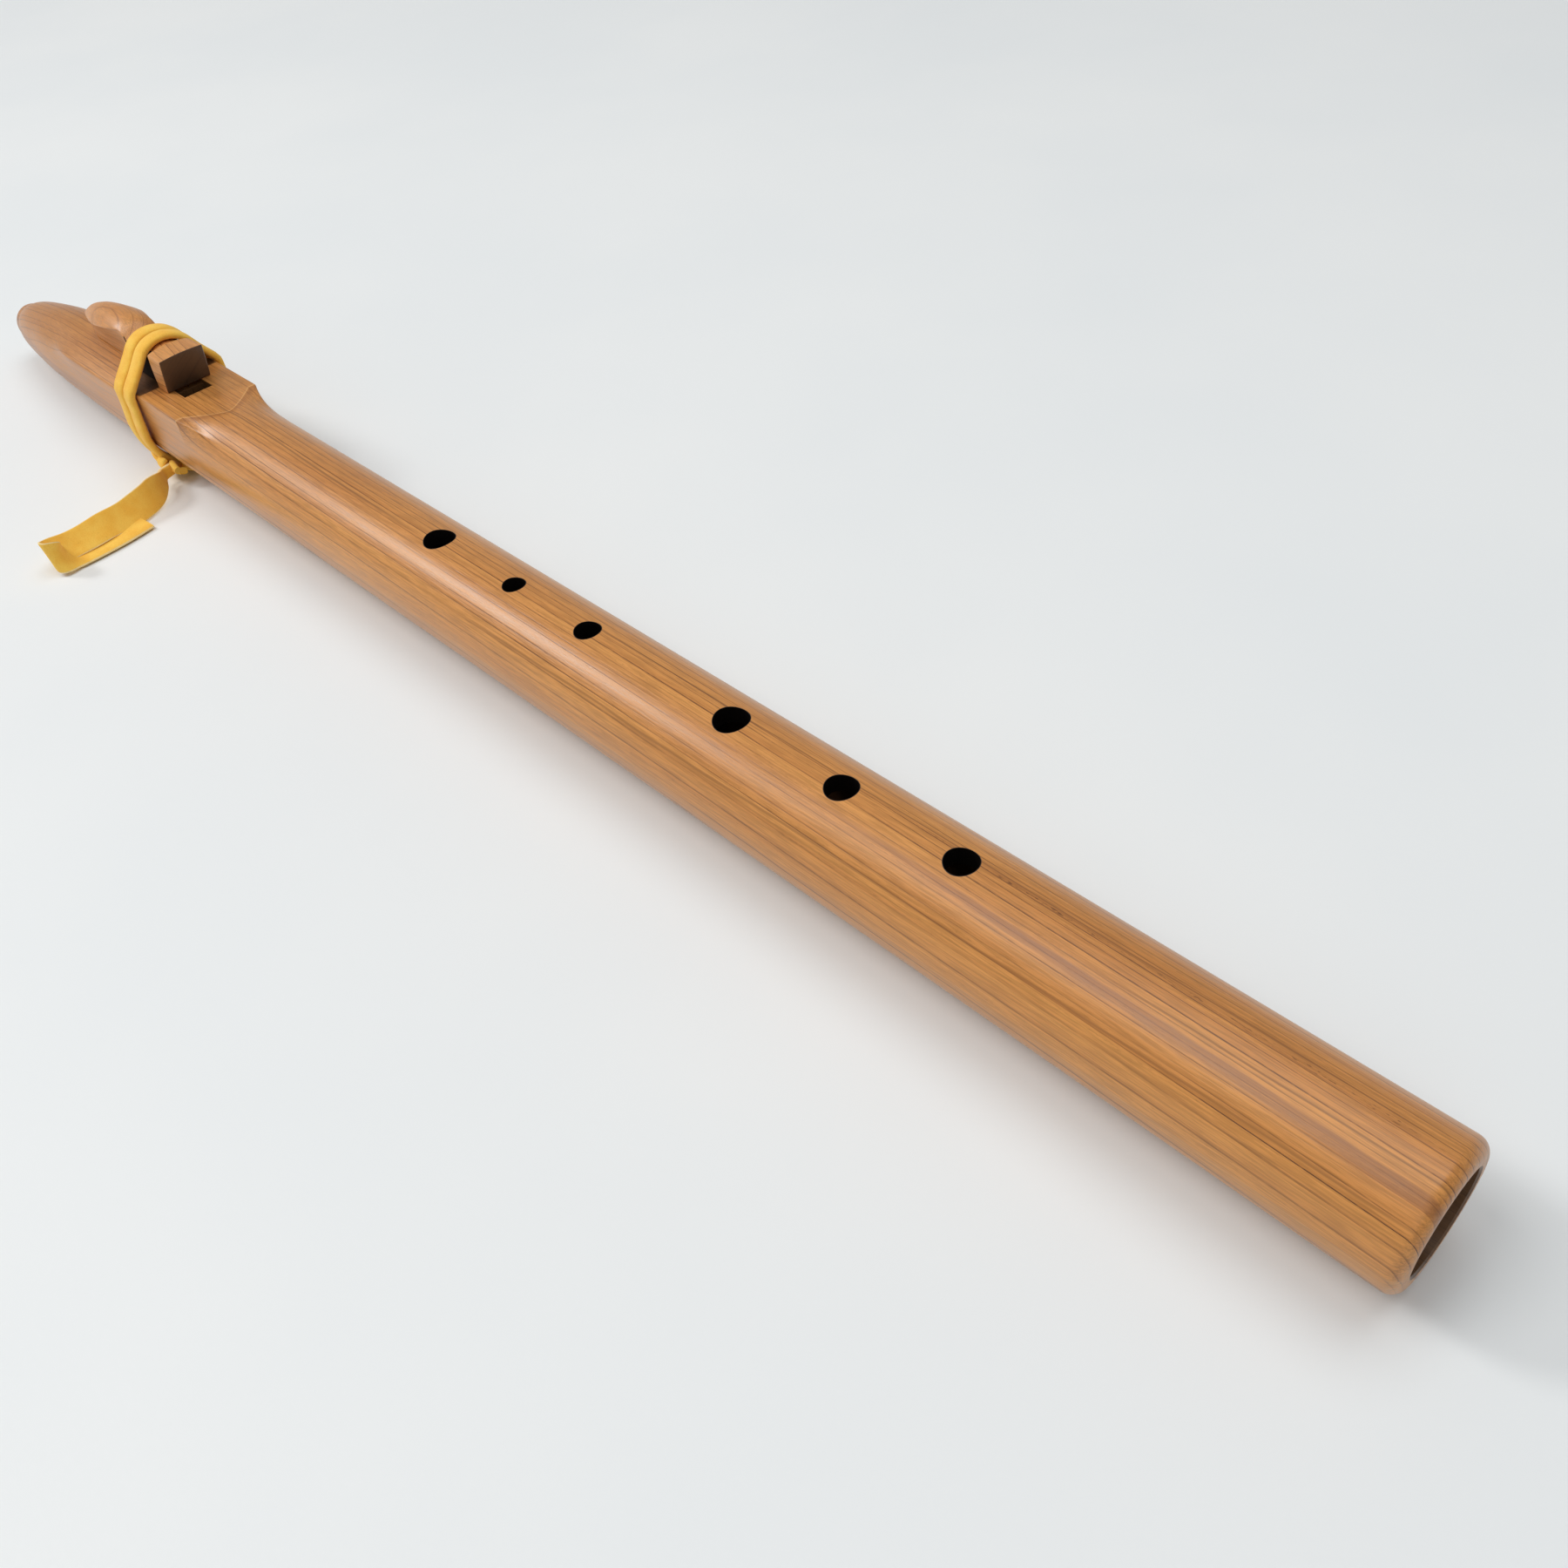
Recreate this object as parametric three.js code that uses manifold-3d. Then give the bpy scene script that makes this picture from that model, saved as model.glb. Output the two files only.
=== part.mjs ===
// A native american flute: a cedar body glued from two halves, a carved block that
// slides on the nest over the flue, and a deerskin lace that ties the block down.
// Millimetres. +X runs from the mouth end to the foot, +Z is up.

import * as THREE from 'three';
import { mergeVertices } from 'three/addons/utils/BufferGeometryUtils.js';
import { RoundedBoxGeometry } from 'three/addons/geometries/RoundedBoxGeometry.js';
import Module from 'manifold-3d';

const wasm = await Module();
wasm.setup();

// Body, all places measured along X from the mouth tip
const fluteLength = 611;
const boreRadius = 11.1;
const wall = 4.775;
const boreShoulder = 3;
const footRound = 3;
const boreChamfer = 0.4;
const cutOverrun = 4;
const weldDistance = 0.0004;

// Head, a taper that droops towards the mouth end
const headLength = 103;
const headDroop = 5.06;
const headStretchShare = 0.058;
const mouthHoleRadius = 3.2;
const headPlaceShares = [0, 0.006, 0.02, 0.055, 0.11, 0.185, 0.31, 0.46, 0.69, 0.86, 1];
const headRadiusShares = [0.36, 0.42, 0.455, 0.48, 0.58, 0.668, 0.768, 0.868, 0.954, 0.988, 1];

// Chambers and windway
const airChamberRadius = 8.5;
const airChamberStart = 32;
const airChamberEnd = 126;
const airChamberDrop = 1;
const chamberWall = 27;
const windwayWidth = 10.4;
const flueDepth = 1.2;
const airExitLength = 6;
const soundHoleSetIn = 5.9;
const soundHoleLength = 3.8;
const rampLength = 3;
const rampDepth = 1.6;
const splittingEdge = 0.4;
const undercut = 3;

// Nest, the squared part of the body that carries the block
const nestCut = 1.075;
const nestSideCut = 0.775;
const nestLeadIn = 26;
const nestLeadUnder = 1.5;
const nestCrown = 4.6;
const crownFade = 21;
const crownFadeSetback = 11;
const nestReach = 19.1;
const nestTongue = 10;
const tongueInset = 2.6;
const scoopLength = 28;
const edgeSoftness = 0.35;
const tongueBend = 1.3;
const scoopBend = 3;

// Finger holes, centres measured from the foot
const fingerHoles = [
  { fromFoot: 298.0, radius: 4.6 },
  { fromFoot: 262.3, radius: 3.2 },
  { fromFoot: 230.5, radius: 3.6 },
  { fromFoot: 176.4, radius: 4.5 },
  { fromFoot: 140.8, radius: 4.0 },
  { fromFoot: 106.7, radius: 3.9 },
];

// Block, its front face just behind the sounding hole
const blockSetback = 0.9;
const blockLength = 73.5;
const blockHeight = 16.4;
const blockHalfWidth = 8.3;
const blockOffset = 0.6;
const blockLean = 5;
const leanStartShare = 0.9;
const blockSeatGap = 0.1;
// Each row: place, crown height, rim height, rim half width, base half width
const blockSectionShares = [
  [0.000, 0.48, 0.46, 0.14, 0.19],
  [0.020, 0.55, 0.50, 0.32, 0.29],
  [0.052, 0.63, 0.52, 0.44, 0.38],
  [0.105, 0.73, 0.54, 0.58, 0.43],
  [0.170, 0.82, 0.57, 0.72, 0.45],
  [0.250, 0.91, 0.61, 0.85, 0.46],
  [0.340, 0.97, 0.68, 0.92, 0.46],
  [0.420, 1.00, 0.75, 0.93, 0.47],
  [0.480, 1.00, 0.79, 0.87, 0.49],
  [0.540, 0.98, 0.82, 0.78, 0.53],
  [0.580, 0.94, 0.80, 0.74, 0.60],
  [0.615, 0.86, 0.73, 0.74, 0.68],
  [0.640, 0.77, 0.61, 0.78, 0.76],
  [0.905, 0.77, 0.61, 0.78, 0.78],
  [0.915, 0.81, 0.74, 0.92, 0.99],
  [0.950, 0.80, 0.745, 0.94, 0.99],
  [1.000, 0.785, 0.76, 0.96, 0.98],
];
const bearingRow = 12;
const blockFlare = 2.4;

// Lace, bunched to a narrow band in the turns and flat in the loose tail
const laceGap = 0.3;
const turnWidth = 6.8;
const turnThickness = 2.3;
const turnSpacing = 0.55;
const laceSetback = 19.3;
const turnCount = 2;
const crownSteps = 8;
const cornerSteps = 2;
const cornerRadius = 1;
const bodySteps = 12;
const stepOverFirst = 2;
const stepOverLast = 8;
const leastTurnGap = 0.4;
const knotStep = 9;

// Knot, on the lower left of the body, over the middle strand
const knotThickness = 6;
const knotRound = 2.6;
const knotBand = 1.7;

// Tail of the lace: a flat ribbon on its edge that doubles back to the flute
const tailWidth = 9;
const tailThickness = 1.2;
const tailLift = 0.3;
const tailRun = [
  [152.2, -19.2], [156.8, -21.6], [160.8, -25.6], [163.4, -30.8], [165.0, -36.4],
  [166.2, -42.4], [167.1, -48.6], [167.8, -54.8], [168.2, -60.8], [169.0, -66.2],
  [172.2, -69.0], [175.4, -67.4], [176.5, -63.2], [176.6, -57.6], [176.4, -51.8],
  [176.0, -46.0], [175.2, -40.4], [174.2, -35.2],
];
const tailSteps = 40;

// Derived sizes and places
const tubeRadius = boreRadius + wall;
const soundChamberStart = airChamberEnd + chamberWall;
const soundHoleStart = soundChamberStart + soundHoleSetIn;
const blockFront = soundHoleStart - blockSetback;
const blockStart = blockFront - blockLength;
const nestFloor = tubeRadius - nestCut;
const nestHalfWidth = tubeRadius - nestSideCut;
const nestRearEnd = blockStart + nestLeadUnder;
const nestRearStart = nestRearEnd - nestLeadIn;
const nestFlatEnd = blockFront - crownFadeSetback;
const nestFlatStart = nestFlatEnd - crownFade;
const nestShoulder = soundHoleStart + nestReach;
const scoopEnd = nestShoulder + scoopLength;
const tongueHalfWidth = nestHalfWidth - tongueInset;
const turnStart = blockFront - laceSetback;
const turnPitch = turnWidth + turnSpacing;
const axisHeight = tubeRadius + laceGap + turnThickness;
const [, bearingCrown, bearingRim, bearingWidth] = blockSectionShares[bearingRow];
const crownTop = bearingCrown * blockHeight + blockSeatGap;
const crownRim = bearingRim * blockHeight + blockSeatGap;
const crownHalf = bearingWidth * blockHalfWidth;
const knotLength = turnCount * turnPitch + turnWidth + 2 * laceGap;

const degree = Math.PI / 180;

function material(color, roughness) {
  return new THREE.MeshStandardMaterial({ color, roughness, metalness: 0 });
}

function mesh(name, geometry, color, roughness) {
  const part = new THREE.Mesh(geometry, material(color, roughness));
  part.name = name;
  return part;
}

function solidFrom(geometry) {
  const bare = geometry.clone();
  bare.deleteAttribute('normal');
  bare.deleteAttribute('uv');
  const merged = mergeVertices(bare, weldDistance);
  return new wasm.Manifold(new wasm.Mesh({
    numProp: 3,
    vertProperties: new Float32Array(merged.attributes.position.array),
    triVerts: new Uint32Array(merged.index.array),
  }));
}

function geometryFrom(solid) {
  const data = solid.getMesh();
  const geometry = new THREE.BufferGeometry();
  geometry.setAttribute('position', new THREE.BufferAttribute(new Float32Array(data.vertProperties), 3));
  geometry.setIndex(new THREE.BufferAttribute(new Uint32Array(data.triVerts), 1));
  return geometry;
}

// Skins a row of rings with equal counts of points, and closes it with the two given caps
function skin(rings, firstCap, lastCap) {
  const count = rings[0].length;
  const positions = rings.flat().flatMap((point) => [point.x, point.y, point.z]);
  const index = [];
  for (let row = 0; row < rings.length - 1; row += 1) {
    for (let column = 0; column < count; column += 1) {
      const a = row * count + column;
      const b = row * count + (column + 1) % count;
      index.push(a, b, b + count, a, b + count, a + count);
    }
  }
  const last = (rings.length - 1) * count;
  index.push(...firstCap.flat(), ...lastCap.flat().map((corner) => corner + last));
  const geometry = new THREE.BufferGeometry();
  geometry.setAttribute('position', new THREE.Float32BufferAttribute(positions, 3));
  geometry.setIndex(index);
  return geometry;
}

// Skins rings that lie across X, with flat caps that may be hollow sided
function loft(rings) {
  return skin(rings, flatCap(rings[0], -1), flatCap(rings.at(-1), 1));
}

// Fills a ring that lies across X, facing along X where side is 1 and against it where -1
function flatCap(ring, side) {
  const outline = ring.map((point) => new THREE.Vector2(point.y, point.z));
  return THREE.ShapeUtils.triangulateShape(outline, []).map(([a, b, c]) => {
    const facing = THREE.ShapeUtils.isClockWise([outline[a], outline[b], outline[c]]) ? -1 : 1;
    return facing === side ? [a, b, c] : [a, c, b];
  });
}

function smooth(low, high, value) {
  return THREE.MathUtils.smoothstep(value, low, high);
}

function softMin(a, b) {
  const low = Math.min(a, b);
  return low - edgeSoftness * Math.log(1 + Math.exp(-Math.abs(a - b) / edgeSoftness));
}

// Reads a smooth curve through a short table of places and values
function tableCurve(places, values) {
  const points = places.map((place, i) => new THREE.Vector2(place, values[i]));
  return (place) => {
    const last = points.length - 1;
    const found = points.findIndex((point) => point.x > place);
    const i = found < 0 ? last : Math.max(1, found);
    const before = points[i - 1];
    const after = points[i];
    const slope = (j) => {
      const low = points[Math.max(0, j - 1)];
      const high = points[Math.min(last, j + 1)];
      return (high.y - low.y) / (high.x - low.x);
    };
    const width = after.x - before.x;
    const t = THREE.MathUtils.clamp((place - before.x) / width, 0, 1);
    const curve = new THREE.CubicBezierCurve(
      before,
      new THREE.Vector2(before.x + width / 3, before.y + slope(i - 1) * width / 3),
      new THREE.Vector2(after.x - width / 3, after.y - slope(i) * width / 3),
      after,
    );
    return curve.getPoint(t).y;
  };
}

const headRadiusAt = tableCurve(headPlaceShares, headRadiusShares);

// Round outside of the body: the head's taper, the straight tube and the rounded foot
function roundRadius(x) {
  const intoFoot = Math.max(0, x - (fluteLength - footRound));
  const footCut = footRound - Math.sqrt(Math.max(0, footRound ** 2 - intoFoot ** 2));
  return tubeRadius * headRadiusAt(Math.min(1, x / headLength)) - footCut;
}

function droop(x) {
  return headDroop * Math.max(0, 1 - x / headLength) ** 2;
}

function stretch(x) {
  return 1 + headStretchShare * Math.max(0, 1 - x / headLength) ** 2;
}

// Distance from the axis to the nest's squared outside, crowned behind and flat in front
function nestRadius(x, angle) {
  const fromTop = Math.abs(angle);
  const side = nestHalfWidth / Math.max(Math.sin(fromTop), Math.sin(degree));
  if (fromTop > Math.PI / 2) {
    return softMin(tubeRadius, side);
  }
  const crown = nestCrown * (1 - smooth(nestFlatStart, nestFlatEnd, x)) / nestHalfWidth ** 2;
  const bend = crown * Math.sin(fromTop) ** 2;
  const cos = Math.cos(fromTop);
  const rise = Math.sqrt(cos ** 2 + 4 * bend * nestFloor);
  const top = 2 * nestFloor / (cos + rise);
  return softMin(top, side);
}

// Where the nest's front crest lies: a rounded tongue between square shoulders
function crestPlace(angle) {
  const across = Math.min(nestFloor * Math.tan(Math.min(Math.abs(angle), 75 * degree)), tongueHalfWidth);
  return nestShoulder + nestTongue * (1 - (across / tongueHalfWidth) ** tongueBend);
}

function nestShare(x, angle) {
  const crest = crestPlace(angle);
  const past = THREE.MathUtils.clamp((x - crest) / (scoopEnd - crest), 0, 1);
  return smooth(nestRearStart, nestRearEnd, x) * (1 - past) ** scoopBend;
}

function bodyPoint(x, angle) {
  const square = (nestRadius(x, angle) - tubeRadius) * nestShare(x, angle);
  const radius = roundRadius(x) + square;
  return new THREE.Vector3(
    x,
    radius * Math.sin(angle),
    radius * Math.cos(angle) * stretch(x) - droop(x),
  );
}

// Angles of the outside's lengthwise lines, drawn together at the nest's corners
function bodyAngles(x) {
  const flatness = smooth(nestFlatStart, nestFlatEnd, x);
  const crownedCorner = Math.atan2(nestHalfWidth, nestFloor - nestCrown);
  const flatCorner = Math.atan2(nestHalfWidth, nestFloor);
  const corner = THREE.MathUtils.lerp(crownedCorner, flatCorner, flatness);
  const topShares = [0, 0.15, 0.32, 0.5, 0.66, 0.8, 0.9, 0.965];
  const sideShares = [0, 0.04, 0.12, 0.28, 0.5, 0.75];
  const belowShares = [0, 0.1, 0.2, 0.3, 0.4, 0.5, 0.6, 0.7, 0.8, 0.9];
  const half = [
    ...topShares.map((share) => corner * share),
    ...sideShares.map((share) => corner + (Math.PI / 2 - corner) * share),
    ...belowShares.map((share) => Math.PI / 2 * (1 + share)),
  ];
  return [...half.map((angle) => -angle), Math.PI, ...half.slice(1).reverse()];
}

// Places along the body as functions of the angle, so that one ring follows the crest
function bodyStations() {
  const headShares = [0, 0.006, 0.014, 0.028, 0.055, 0.085, 0.12, 0.17, 0.24, 0.33, 0.45, 0.57];
  const rearShares = [0, 0.17, 0.34, 0.5, 0.67, 0.83, 1];
  const flatShares = [0, 0.25, 0.5, 0.75, 1];
  const scoopShares = [0, 0.03, 0.08, 0.15, 0.25, 0.38, 0.55, 0.76, 1];
  const footShares = [0, 0.3, 0.6, 0.82, 0.95, 1];
  return [
    ...headShares.map((share) => () => share * headLength),
    ...rearShares.map((share) => () => THREE.MathUtils.lerp(nestRearStart, nestRearEnd, share)),
    ...flatShares.map((share) => () => THREE.MathUtils.lerp(nestFlatStart, nestFlatEnd, share)),
    ...scoopShares.map((share) => (angle) => THREE.MathUtils.lerp(crestPlace(angle), scoopEnd, share)),
    ...footShares.map((share) => () => fluteLength - footRound * (1 - share)),
  ];
}

function bodyOutside() {
  const rings = bodyStations().map((place) => {
    const angles = bodyAngles(place(0));
    return angles.map((angle) => bodyPoint(place(angle), angle));
  });
  return solidFrom(loft(rings));
}

// A round solid along X from a list of places and radii
function turnedAlongX(profile, sides) {
  const outline = [
    new THREE.Vector2(0, profile[0][0]),
    ...profile.map(([place, radius]) => new THREE.Vector2(radius, place)),
    new THREE.Vector2(0, profile.at(-1)[0]),
  ];
  const geometry = new THREE.LatheGeometry(outline, sides);
  geometry.rotateZ(-Math.PI / 2);
  return geometry;
}

function soundBore() {
  const mouth = fluteLength - boreChamfer;
  return solidFrom(turnedAlongX([
    [soundChamberStart, boreRadius - boreShoulder],
    [soundChamberStart + boreShoulder, boreRadius],
    [mouth, boreRadius],
    [fluteLength + cutOverrun, boreRadius + boreChamfer + cutOverrun],
  ], 40));
}

function airChamber() {
  const geometry = turnedAlongX([
    [airChamberStart, mouthHoleRadius],
    [airChamberStart + airChamberRadius, airChamberRadius],
    [airChamberEnd, airChamberRadius],
  ], 32);
  geometry.translate(0, 0, -airChamberDrop);
  return solidFrom(geometry);
}

// Drilled from the droopy tip up into the air chamber
function mouthHole() {
  const end = airChamberStart + airChamberRadius;
  const drop = headDroop - airChamberDrop;
  const geometry = turnedAlongX([[-cutOverrun, mouthHoleRadius], [end, mouthHoleRadius]], 24);
  geometry.rotateY(-Math.atan2(drop, end));
  geometry.translate(0, 0, -headDroop);
  return solidFrom(geometry);
}

function boxCut(start, end, width, bottom, top) {
  const geometry = new THREE.BoxGeometry(end - start, width, top - bottom);
  geometry.translate((start + end) / 2, 0, (top + bottom) / 2);
  return solidFrom(geometry);
}

// Shallow channel under the block, and the slot that lifts the air up into it
function flue() {
  const exitStart = airChamberEnd - airExitLength;
  const channelFloor = nestFloor - flueDepth;
  const channel = boxCut(exitStart, soundHoleStart, windwayWidth, channelFloor, nestFloor + cutOverrun);
  const exit = boxCut(exitStart, airChamberEnd, windwayWidth, airChamberDrop, nestFloor);
  return channel.add(exit);
}

// Side outline of the sounding hole: straight behind, ramp and sharp edge in front
function soundHole() {
  const edge = soundHoleStart + soundHoleLength;
  const outline = new THREE.Shape([
    new THREE.Vector2(soundHoleStart - splittingEdge, nestFloor + cutOverrun),
    new THREE.Vector2(soundHoleStart - splittingEdge, boreRadius / 2),
    new THREE.Vector2(edge + undercut, boreRadius / 2),
    new THREE.Vector2(edge, nestFloor - rampDepth - splittingEdge),
    new THREE.Vector2(edge, nestFloor - rampDepth),
    new THREE.Vector2(edge + rampLength, nestFloor),
    new THREE.Vector2(edge + rampLength, nestFloor + cutOverrun),
  ]);
  const geometry = new THREE.ExtrudeGeometry(outline, { depth: windwayWidth, bevelEnabled: false });
  geometry.rotateX(Math.PI / 2);
  geometry.translate(0, windwayWidth / 2, 0);
  return solidFrom(geometry);
}

function fingerHole({ fromFoot, radius }) {
  const geometry = new THREE.CylinderGeometry(radius, radius, tubeRadius + cutOverrun, 24);
  geometry.rotateX(Math.PI / 2);
  geometry.translate(fluteLength - fromFoot, 0, (tubeRadius + cutOverrun) / 2);
  return solidFrom(geometry);
}

function bodySolid() {
  let solid = bodyOutside();
  const cuts = [soundBore(), airChamber(), mouthHole(), flue(), soundHole(), ...fingerHoles.map(fingerHole)];
  for (const cut of cuts) {
    solid = solid.subtract(cut);
  }
  return solid;
}

// One half of the body: side is 1 above the glue line and -1 below it
function bodyHalf(solid, side) {
  const height = 2 * tubeRadius + cutOverrun;
  const geometry = new THREE.BoxGeometry(fluteLength + 2 * cutOverrun, 2 * height, height);
  geometry.translate(fluteLength / 2, 0, side * height / 2);
  return geometryFrom(solid.intersect(solidFrom(geometry)));
}

// Sizes of the block's section at a share of its length, in millimetres
function blockSection([, crown, rim, rimWidth, baseWidth]) {
  return {
    crown: crown * blockHeight,
    rim: rim * blockHeight,
    rimWidth: rimWidth * blockHalfWidth,
    baseWidth: baseWidth * blockHalfWidth,
  };
}

// One cross section: flat base, scooped sides, and a crowned top between two crests
function blockRing(row) {
  const { crown, rim, rimWidth, baseWidth } = blockSection(row);
  const place = blockStart + row[0] * blockLength;
  const lean = (height) => blockLean * height / blockHeight * smooth(leanStartShare, 1, row[0]);
  const sideShares = [0, 0.2, 0.4, 0.6, 0.8];
  const topShares = [1, 0.82, 0.6, 0.35, 0];
  const half = [
    ...sideShares.map((share) => [
      baseWidth + (rimWidth - baseWidth) * share ** blockFlare, rim * share,
    ]),
    ...topShares.map((share) => [rimWidth * share, crown - (crown - rim) * share ** 2]),
  ];
  const all = [...half, ...half.slice(0, -1).reverse().map(([across, height]) => [-across, height])];
  const seat = nestFloor + blockSeatGap;
  return all.map(([across, height]) => (
    new THREE.Vector3(place + lean(height), blockOffset + across, seat + height)
  ));
}

function block() {
  return loft(blockSectionShares.map(blockRing));
}

// The line that a turn of lace follows in cross section, as arcs around the things it
// bears on: the block's crown, the nest's corners and the round underside
function bearingArcs() {
  const drop = crownTop - crownRim;
  const crownRadius = (crownHalf ** 2 + drop ** 2) / (2 * drop);
  const crown = { y: blockOffset, z: nestFloor + crownTop - crownRadius, radius: crownRadius };
  const inset = nestHalfWidth - cornerRadius;
  const right = { y: inset, z: nestFloor - cornerRadius, radius: cornerRadius };
  const left = { ...right, y: -inset };
  const under = { y: 0, z: 0, radius: tubeRadius };
  const mirror = ({ y, ...circle }) => ({ ...circle, y: -y });
  const turn = 2 * Math.PI;
  const a = tangentAngle(crown, right);
  const b = tangentAngle(right, under);
  const c = tangentAngle(mirror(crown), right);
  return [
    { ...crown, from: -c, to: a, steps: crownSteps },
    { ...right, from: a, to: b, steps: cornerSteps },
    { ...under, from: b, to: turn - b, steps: bodySteps },
    { ...left, from: turn - b, to: turn - c, steps: cornerSteps },
  ];
}

// Angle from straight up of the straight line that touches two circles on their right
function tangentAngle(first, second) {
  const along = Math.atan2(second.y - first.y, second.z - first.z);
  const apart = Math.hypot(second.y - first.y, second.z - first.z);
  const angle = along - Math.acos((first.radius - second.radius) / apart);
  return THREE.MathUtils.euclideanModulo(angle, 2 * Math.PI);
}

// One corner of the turn's line, pushed out so that its straight steps clear the arc
function arcCorner(arc, step) {
  const half = (arc.to - arc.from) / arc.steps / 2;
  const angle = arc.from + (step + 0.5) * 2 * half;
  return (offset) => {
    const reach = (arc.radius + offset) / Math.cos(half);
    return [arc.y + reach * Math.sin(angle), arc.z + reach * Math.cos(angle)];
  };
}

// A square end of the lace, where one of the underside's steps touches its arc
function arcEnd(arc, step) {
  const angle = arc.from + step * (arc.to - arc.from) / arc.steps;
  return (offset) => {
    const reach = arc.radius + offset;
    return [arc.y + reach * Math.sin(angle), arc.z + reach * Math.cos(angle)];
  };
}

// Every corner of the whole winding, with its place along the body
function windingCorners() {
  const [crown, right, under, left] = bearingArcs();
  const corners = [];
  const add = (corner, turns) => corners.push({ corner, x: turnStart + turnPitch * turns });
  const addArc = (arc, turns) => {
    for (let step = 0; step < arc.steps; step += 1) {
      add(arcCorner(arc, step), turns);
    }
  };
  add(arcEnd(under, knotStep + 1), 0);
  for (let step = knotStep + 1; step < bodySteps; step += 1) {
    add(arcCorner(under, step), 0);
  }
  for (let turn = 0; turn < turnCount; turn += 1) {
    addArc(left, turn);
    addArc(crown, turn);
    addArc(right, turn);
    const last = turn === turnCount - 1 ? knotStep - 1 : bodySteps;
    for (let step = 0; step < last; step += 1) {
      add(arcCorner(under, step), turn + smooth(stepOverFirst, stepOverLast, step));
    }
  }
  add(arcEnd(under, knotStep - 1), turnCount);
  return corners;
}

// A six sided band around each corner, flat against the wood
function windingRings() {
  const bandShares = [[-1, 0], [-0.75, 1], [0.75, 1], [1, 0], [0.75, -1], [-0.75, -1]];
  return windingCorners().map(({ corner, x }) => bandShares.map(([across, out]) => {
    const [y, z] = corner(laceGap + turnThickness / 2 * (1 + out));
    return new THREE.Vector3(x + across * turnWidth / 2, y, z);
  }));
}

// Least distance between the facing edges of neighbouring turns, on points along them
function leastGap(rings) {
  const samples = 4;
  const line = rings.slice(1).flatMap((ring, i) => Array.from({ length: samples }, (unused, j) => (
    ring.map((point, k) => rings[i][k].clone().lerp(point, j / samples))
  )));
  let least = Infinity;
  line.forEach((ring, i) => line.slice(i + crownSteps * samples).forEach((other) => {
    for (const a of ring) {
      for (const b of other) {
        least = Math.min(least, a.distanceTo(b));
      }
    }
  }));
  return least;
}

// The winding's rings are flat and convex, so each end is a plain fan
function windingGeometry() {
  const rings = windingRings();
  const gap = leastGap(rings);
  console.log(`least gap between turns of the lace: ${gap.toFixed(2)} mm, over ${leastTurnGap} mm`);
  const fan = rings[0].slice(2).map((unused, i) => [0, i + 2, i + 1]);
  return skin(rings, fan, fan.map(([a, b, c]) => [a, c, b]));
}

// Where the knot lies on the underside: between the two ends of the winding
function knotAngle() {
  const [, , under] = bearingArcs();
  return under.from + knotStep * (under.to - under.from) / bodySteps;
}

// A rounded lump with a band across it, hollowed below for the strand that it sits on
function knotGeometry() {
  const [, , under] = bearingArcs();
  const step = (under.to - under.from) / bodySteps;
  const middle = tubeRadius + laceGap + knotThickness / 2;
  const span = 2 * ((tubeRadius + laceGap) * Math.tan(step) - laceGap);
  const lump = solidFrom(new RoundedBoxGeometry(knotLength, span, knotThickness, 4, knotRound));
  const band = new THREE.TorusGeometry(span / 2 - knotBand / 2, knotBand, 10, 28);
  band.rotateY(Math.PI / 2);
  band.scale(1, 1, knotThickness / span);
  const strand = new THREE.BoxGeometry(turnWidth + 2 * laceGap, 2 * span, 2 * (turnThickness + laceGap));
  strand.translate(0, 0, -knotThickness / 2);
  const seat = turnedAlongX([
    [-knotLength, tubeRadius + laceGap],
    [knotLength, tubeRadius + laceGap],
  ], 48);
  seat.translate(0, 0, -middle);
  const geometry = geometryFrom(
    lump.add(solidFrom(band)).subtract(solidFrom(strand)).subtract(solidFrom(seat)),
  );
  geometry.translate(0, 0, middle);
  geometry.rotateX(-knotAngle());
  geometry.translate(turnStart + turnPitch, 0, 0);
  return geometry;
}

// The loose tail, a thin ribbon swept along its route with its width upright
function tailGeometry() {
  const height = tailLift + tailWidth / 2 - axisHeight;
  const route = new THREE.CatmullRomCurve3(
    tailRun.map(([x, y]) => new THREE.Vector3(x, y, height)), false, 'centripetal',
  );
  const edge = tailThickness / 2;
  const half = tailWidth / 2;
  const ribbon = new THREE.Shape([
    new THREE.Vector2(-half, -edge / 2),
    new THREE.Vector2(edge - half, -edge),
    new THREE.Vector2(half - edge, -edge),
    new THREE.Vector2(half, -edge / 2),
    new THREE.Vector2(half, edge / 2),
    new THREE.Vector2(half - edge, edge),
    new THREE.Vector2(edge - half, edge),
    new THREE.Vector2(-half, edge / 2),
  ]);
  console.log(`length of the lace's tail: ${route.getLength().toFixed(1)} mm`);
  return new THREE.ExtrudeGeometry(ribbon, {
    steps: tailSteps, bevelEnabled: false, extrudePath: route,
  });
}

const cedar = '#b4763f';
const darkCedar = '#a3683a';
const blockCedar = '#9c5c35';
const deerskin = '#e3a93c';

const body = bodySolid();
const flute = new THREE.Group();
flute.add(
  mesh('body_top_half', bodyHalf(body, 1), cedar, 0.42),
  mesh('body_bottom_half', bodyHalf(body, -1), darkCedar, 0.42),
  mesh('block', block(), blockCedar, 0.5),
  mesh('lace_turns', windingGeometry(), deerskin, 0.85),
  mesh('lace_knot', knotGeometry(), deerskin, 0.85),
  mesh('lace_tail', tailGeometry(), deerskin, 0.85),
);
flute.position.set(-fluteLength / 2, 0, axisHeight);

export default flute;
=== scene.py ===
# Looks of a native american flute: oiled cedar body and block, deerskin lace.
# Metres, in the part's own frame: +X from the mouth end to the foot, +Z up.

import math

import bpy
import numpy as np
from mathutils import Matrix, Vector


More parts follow.
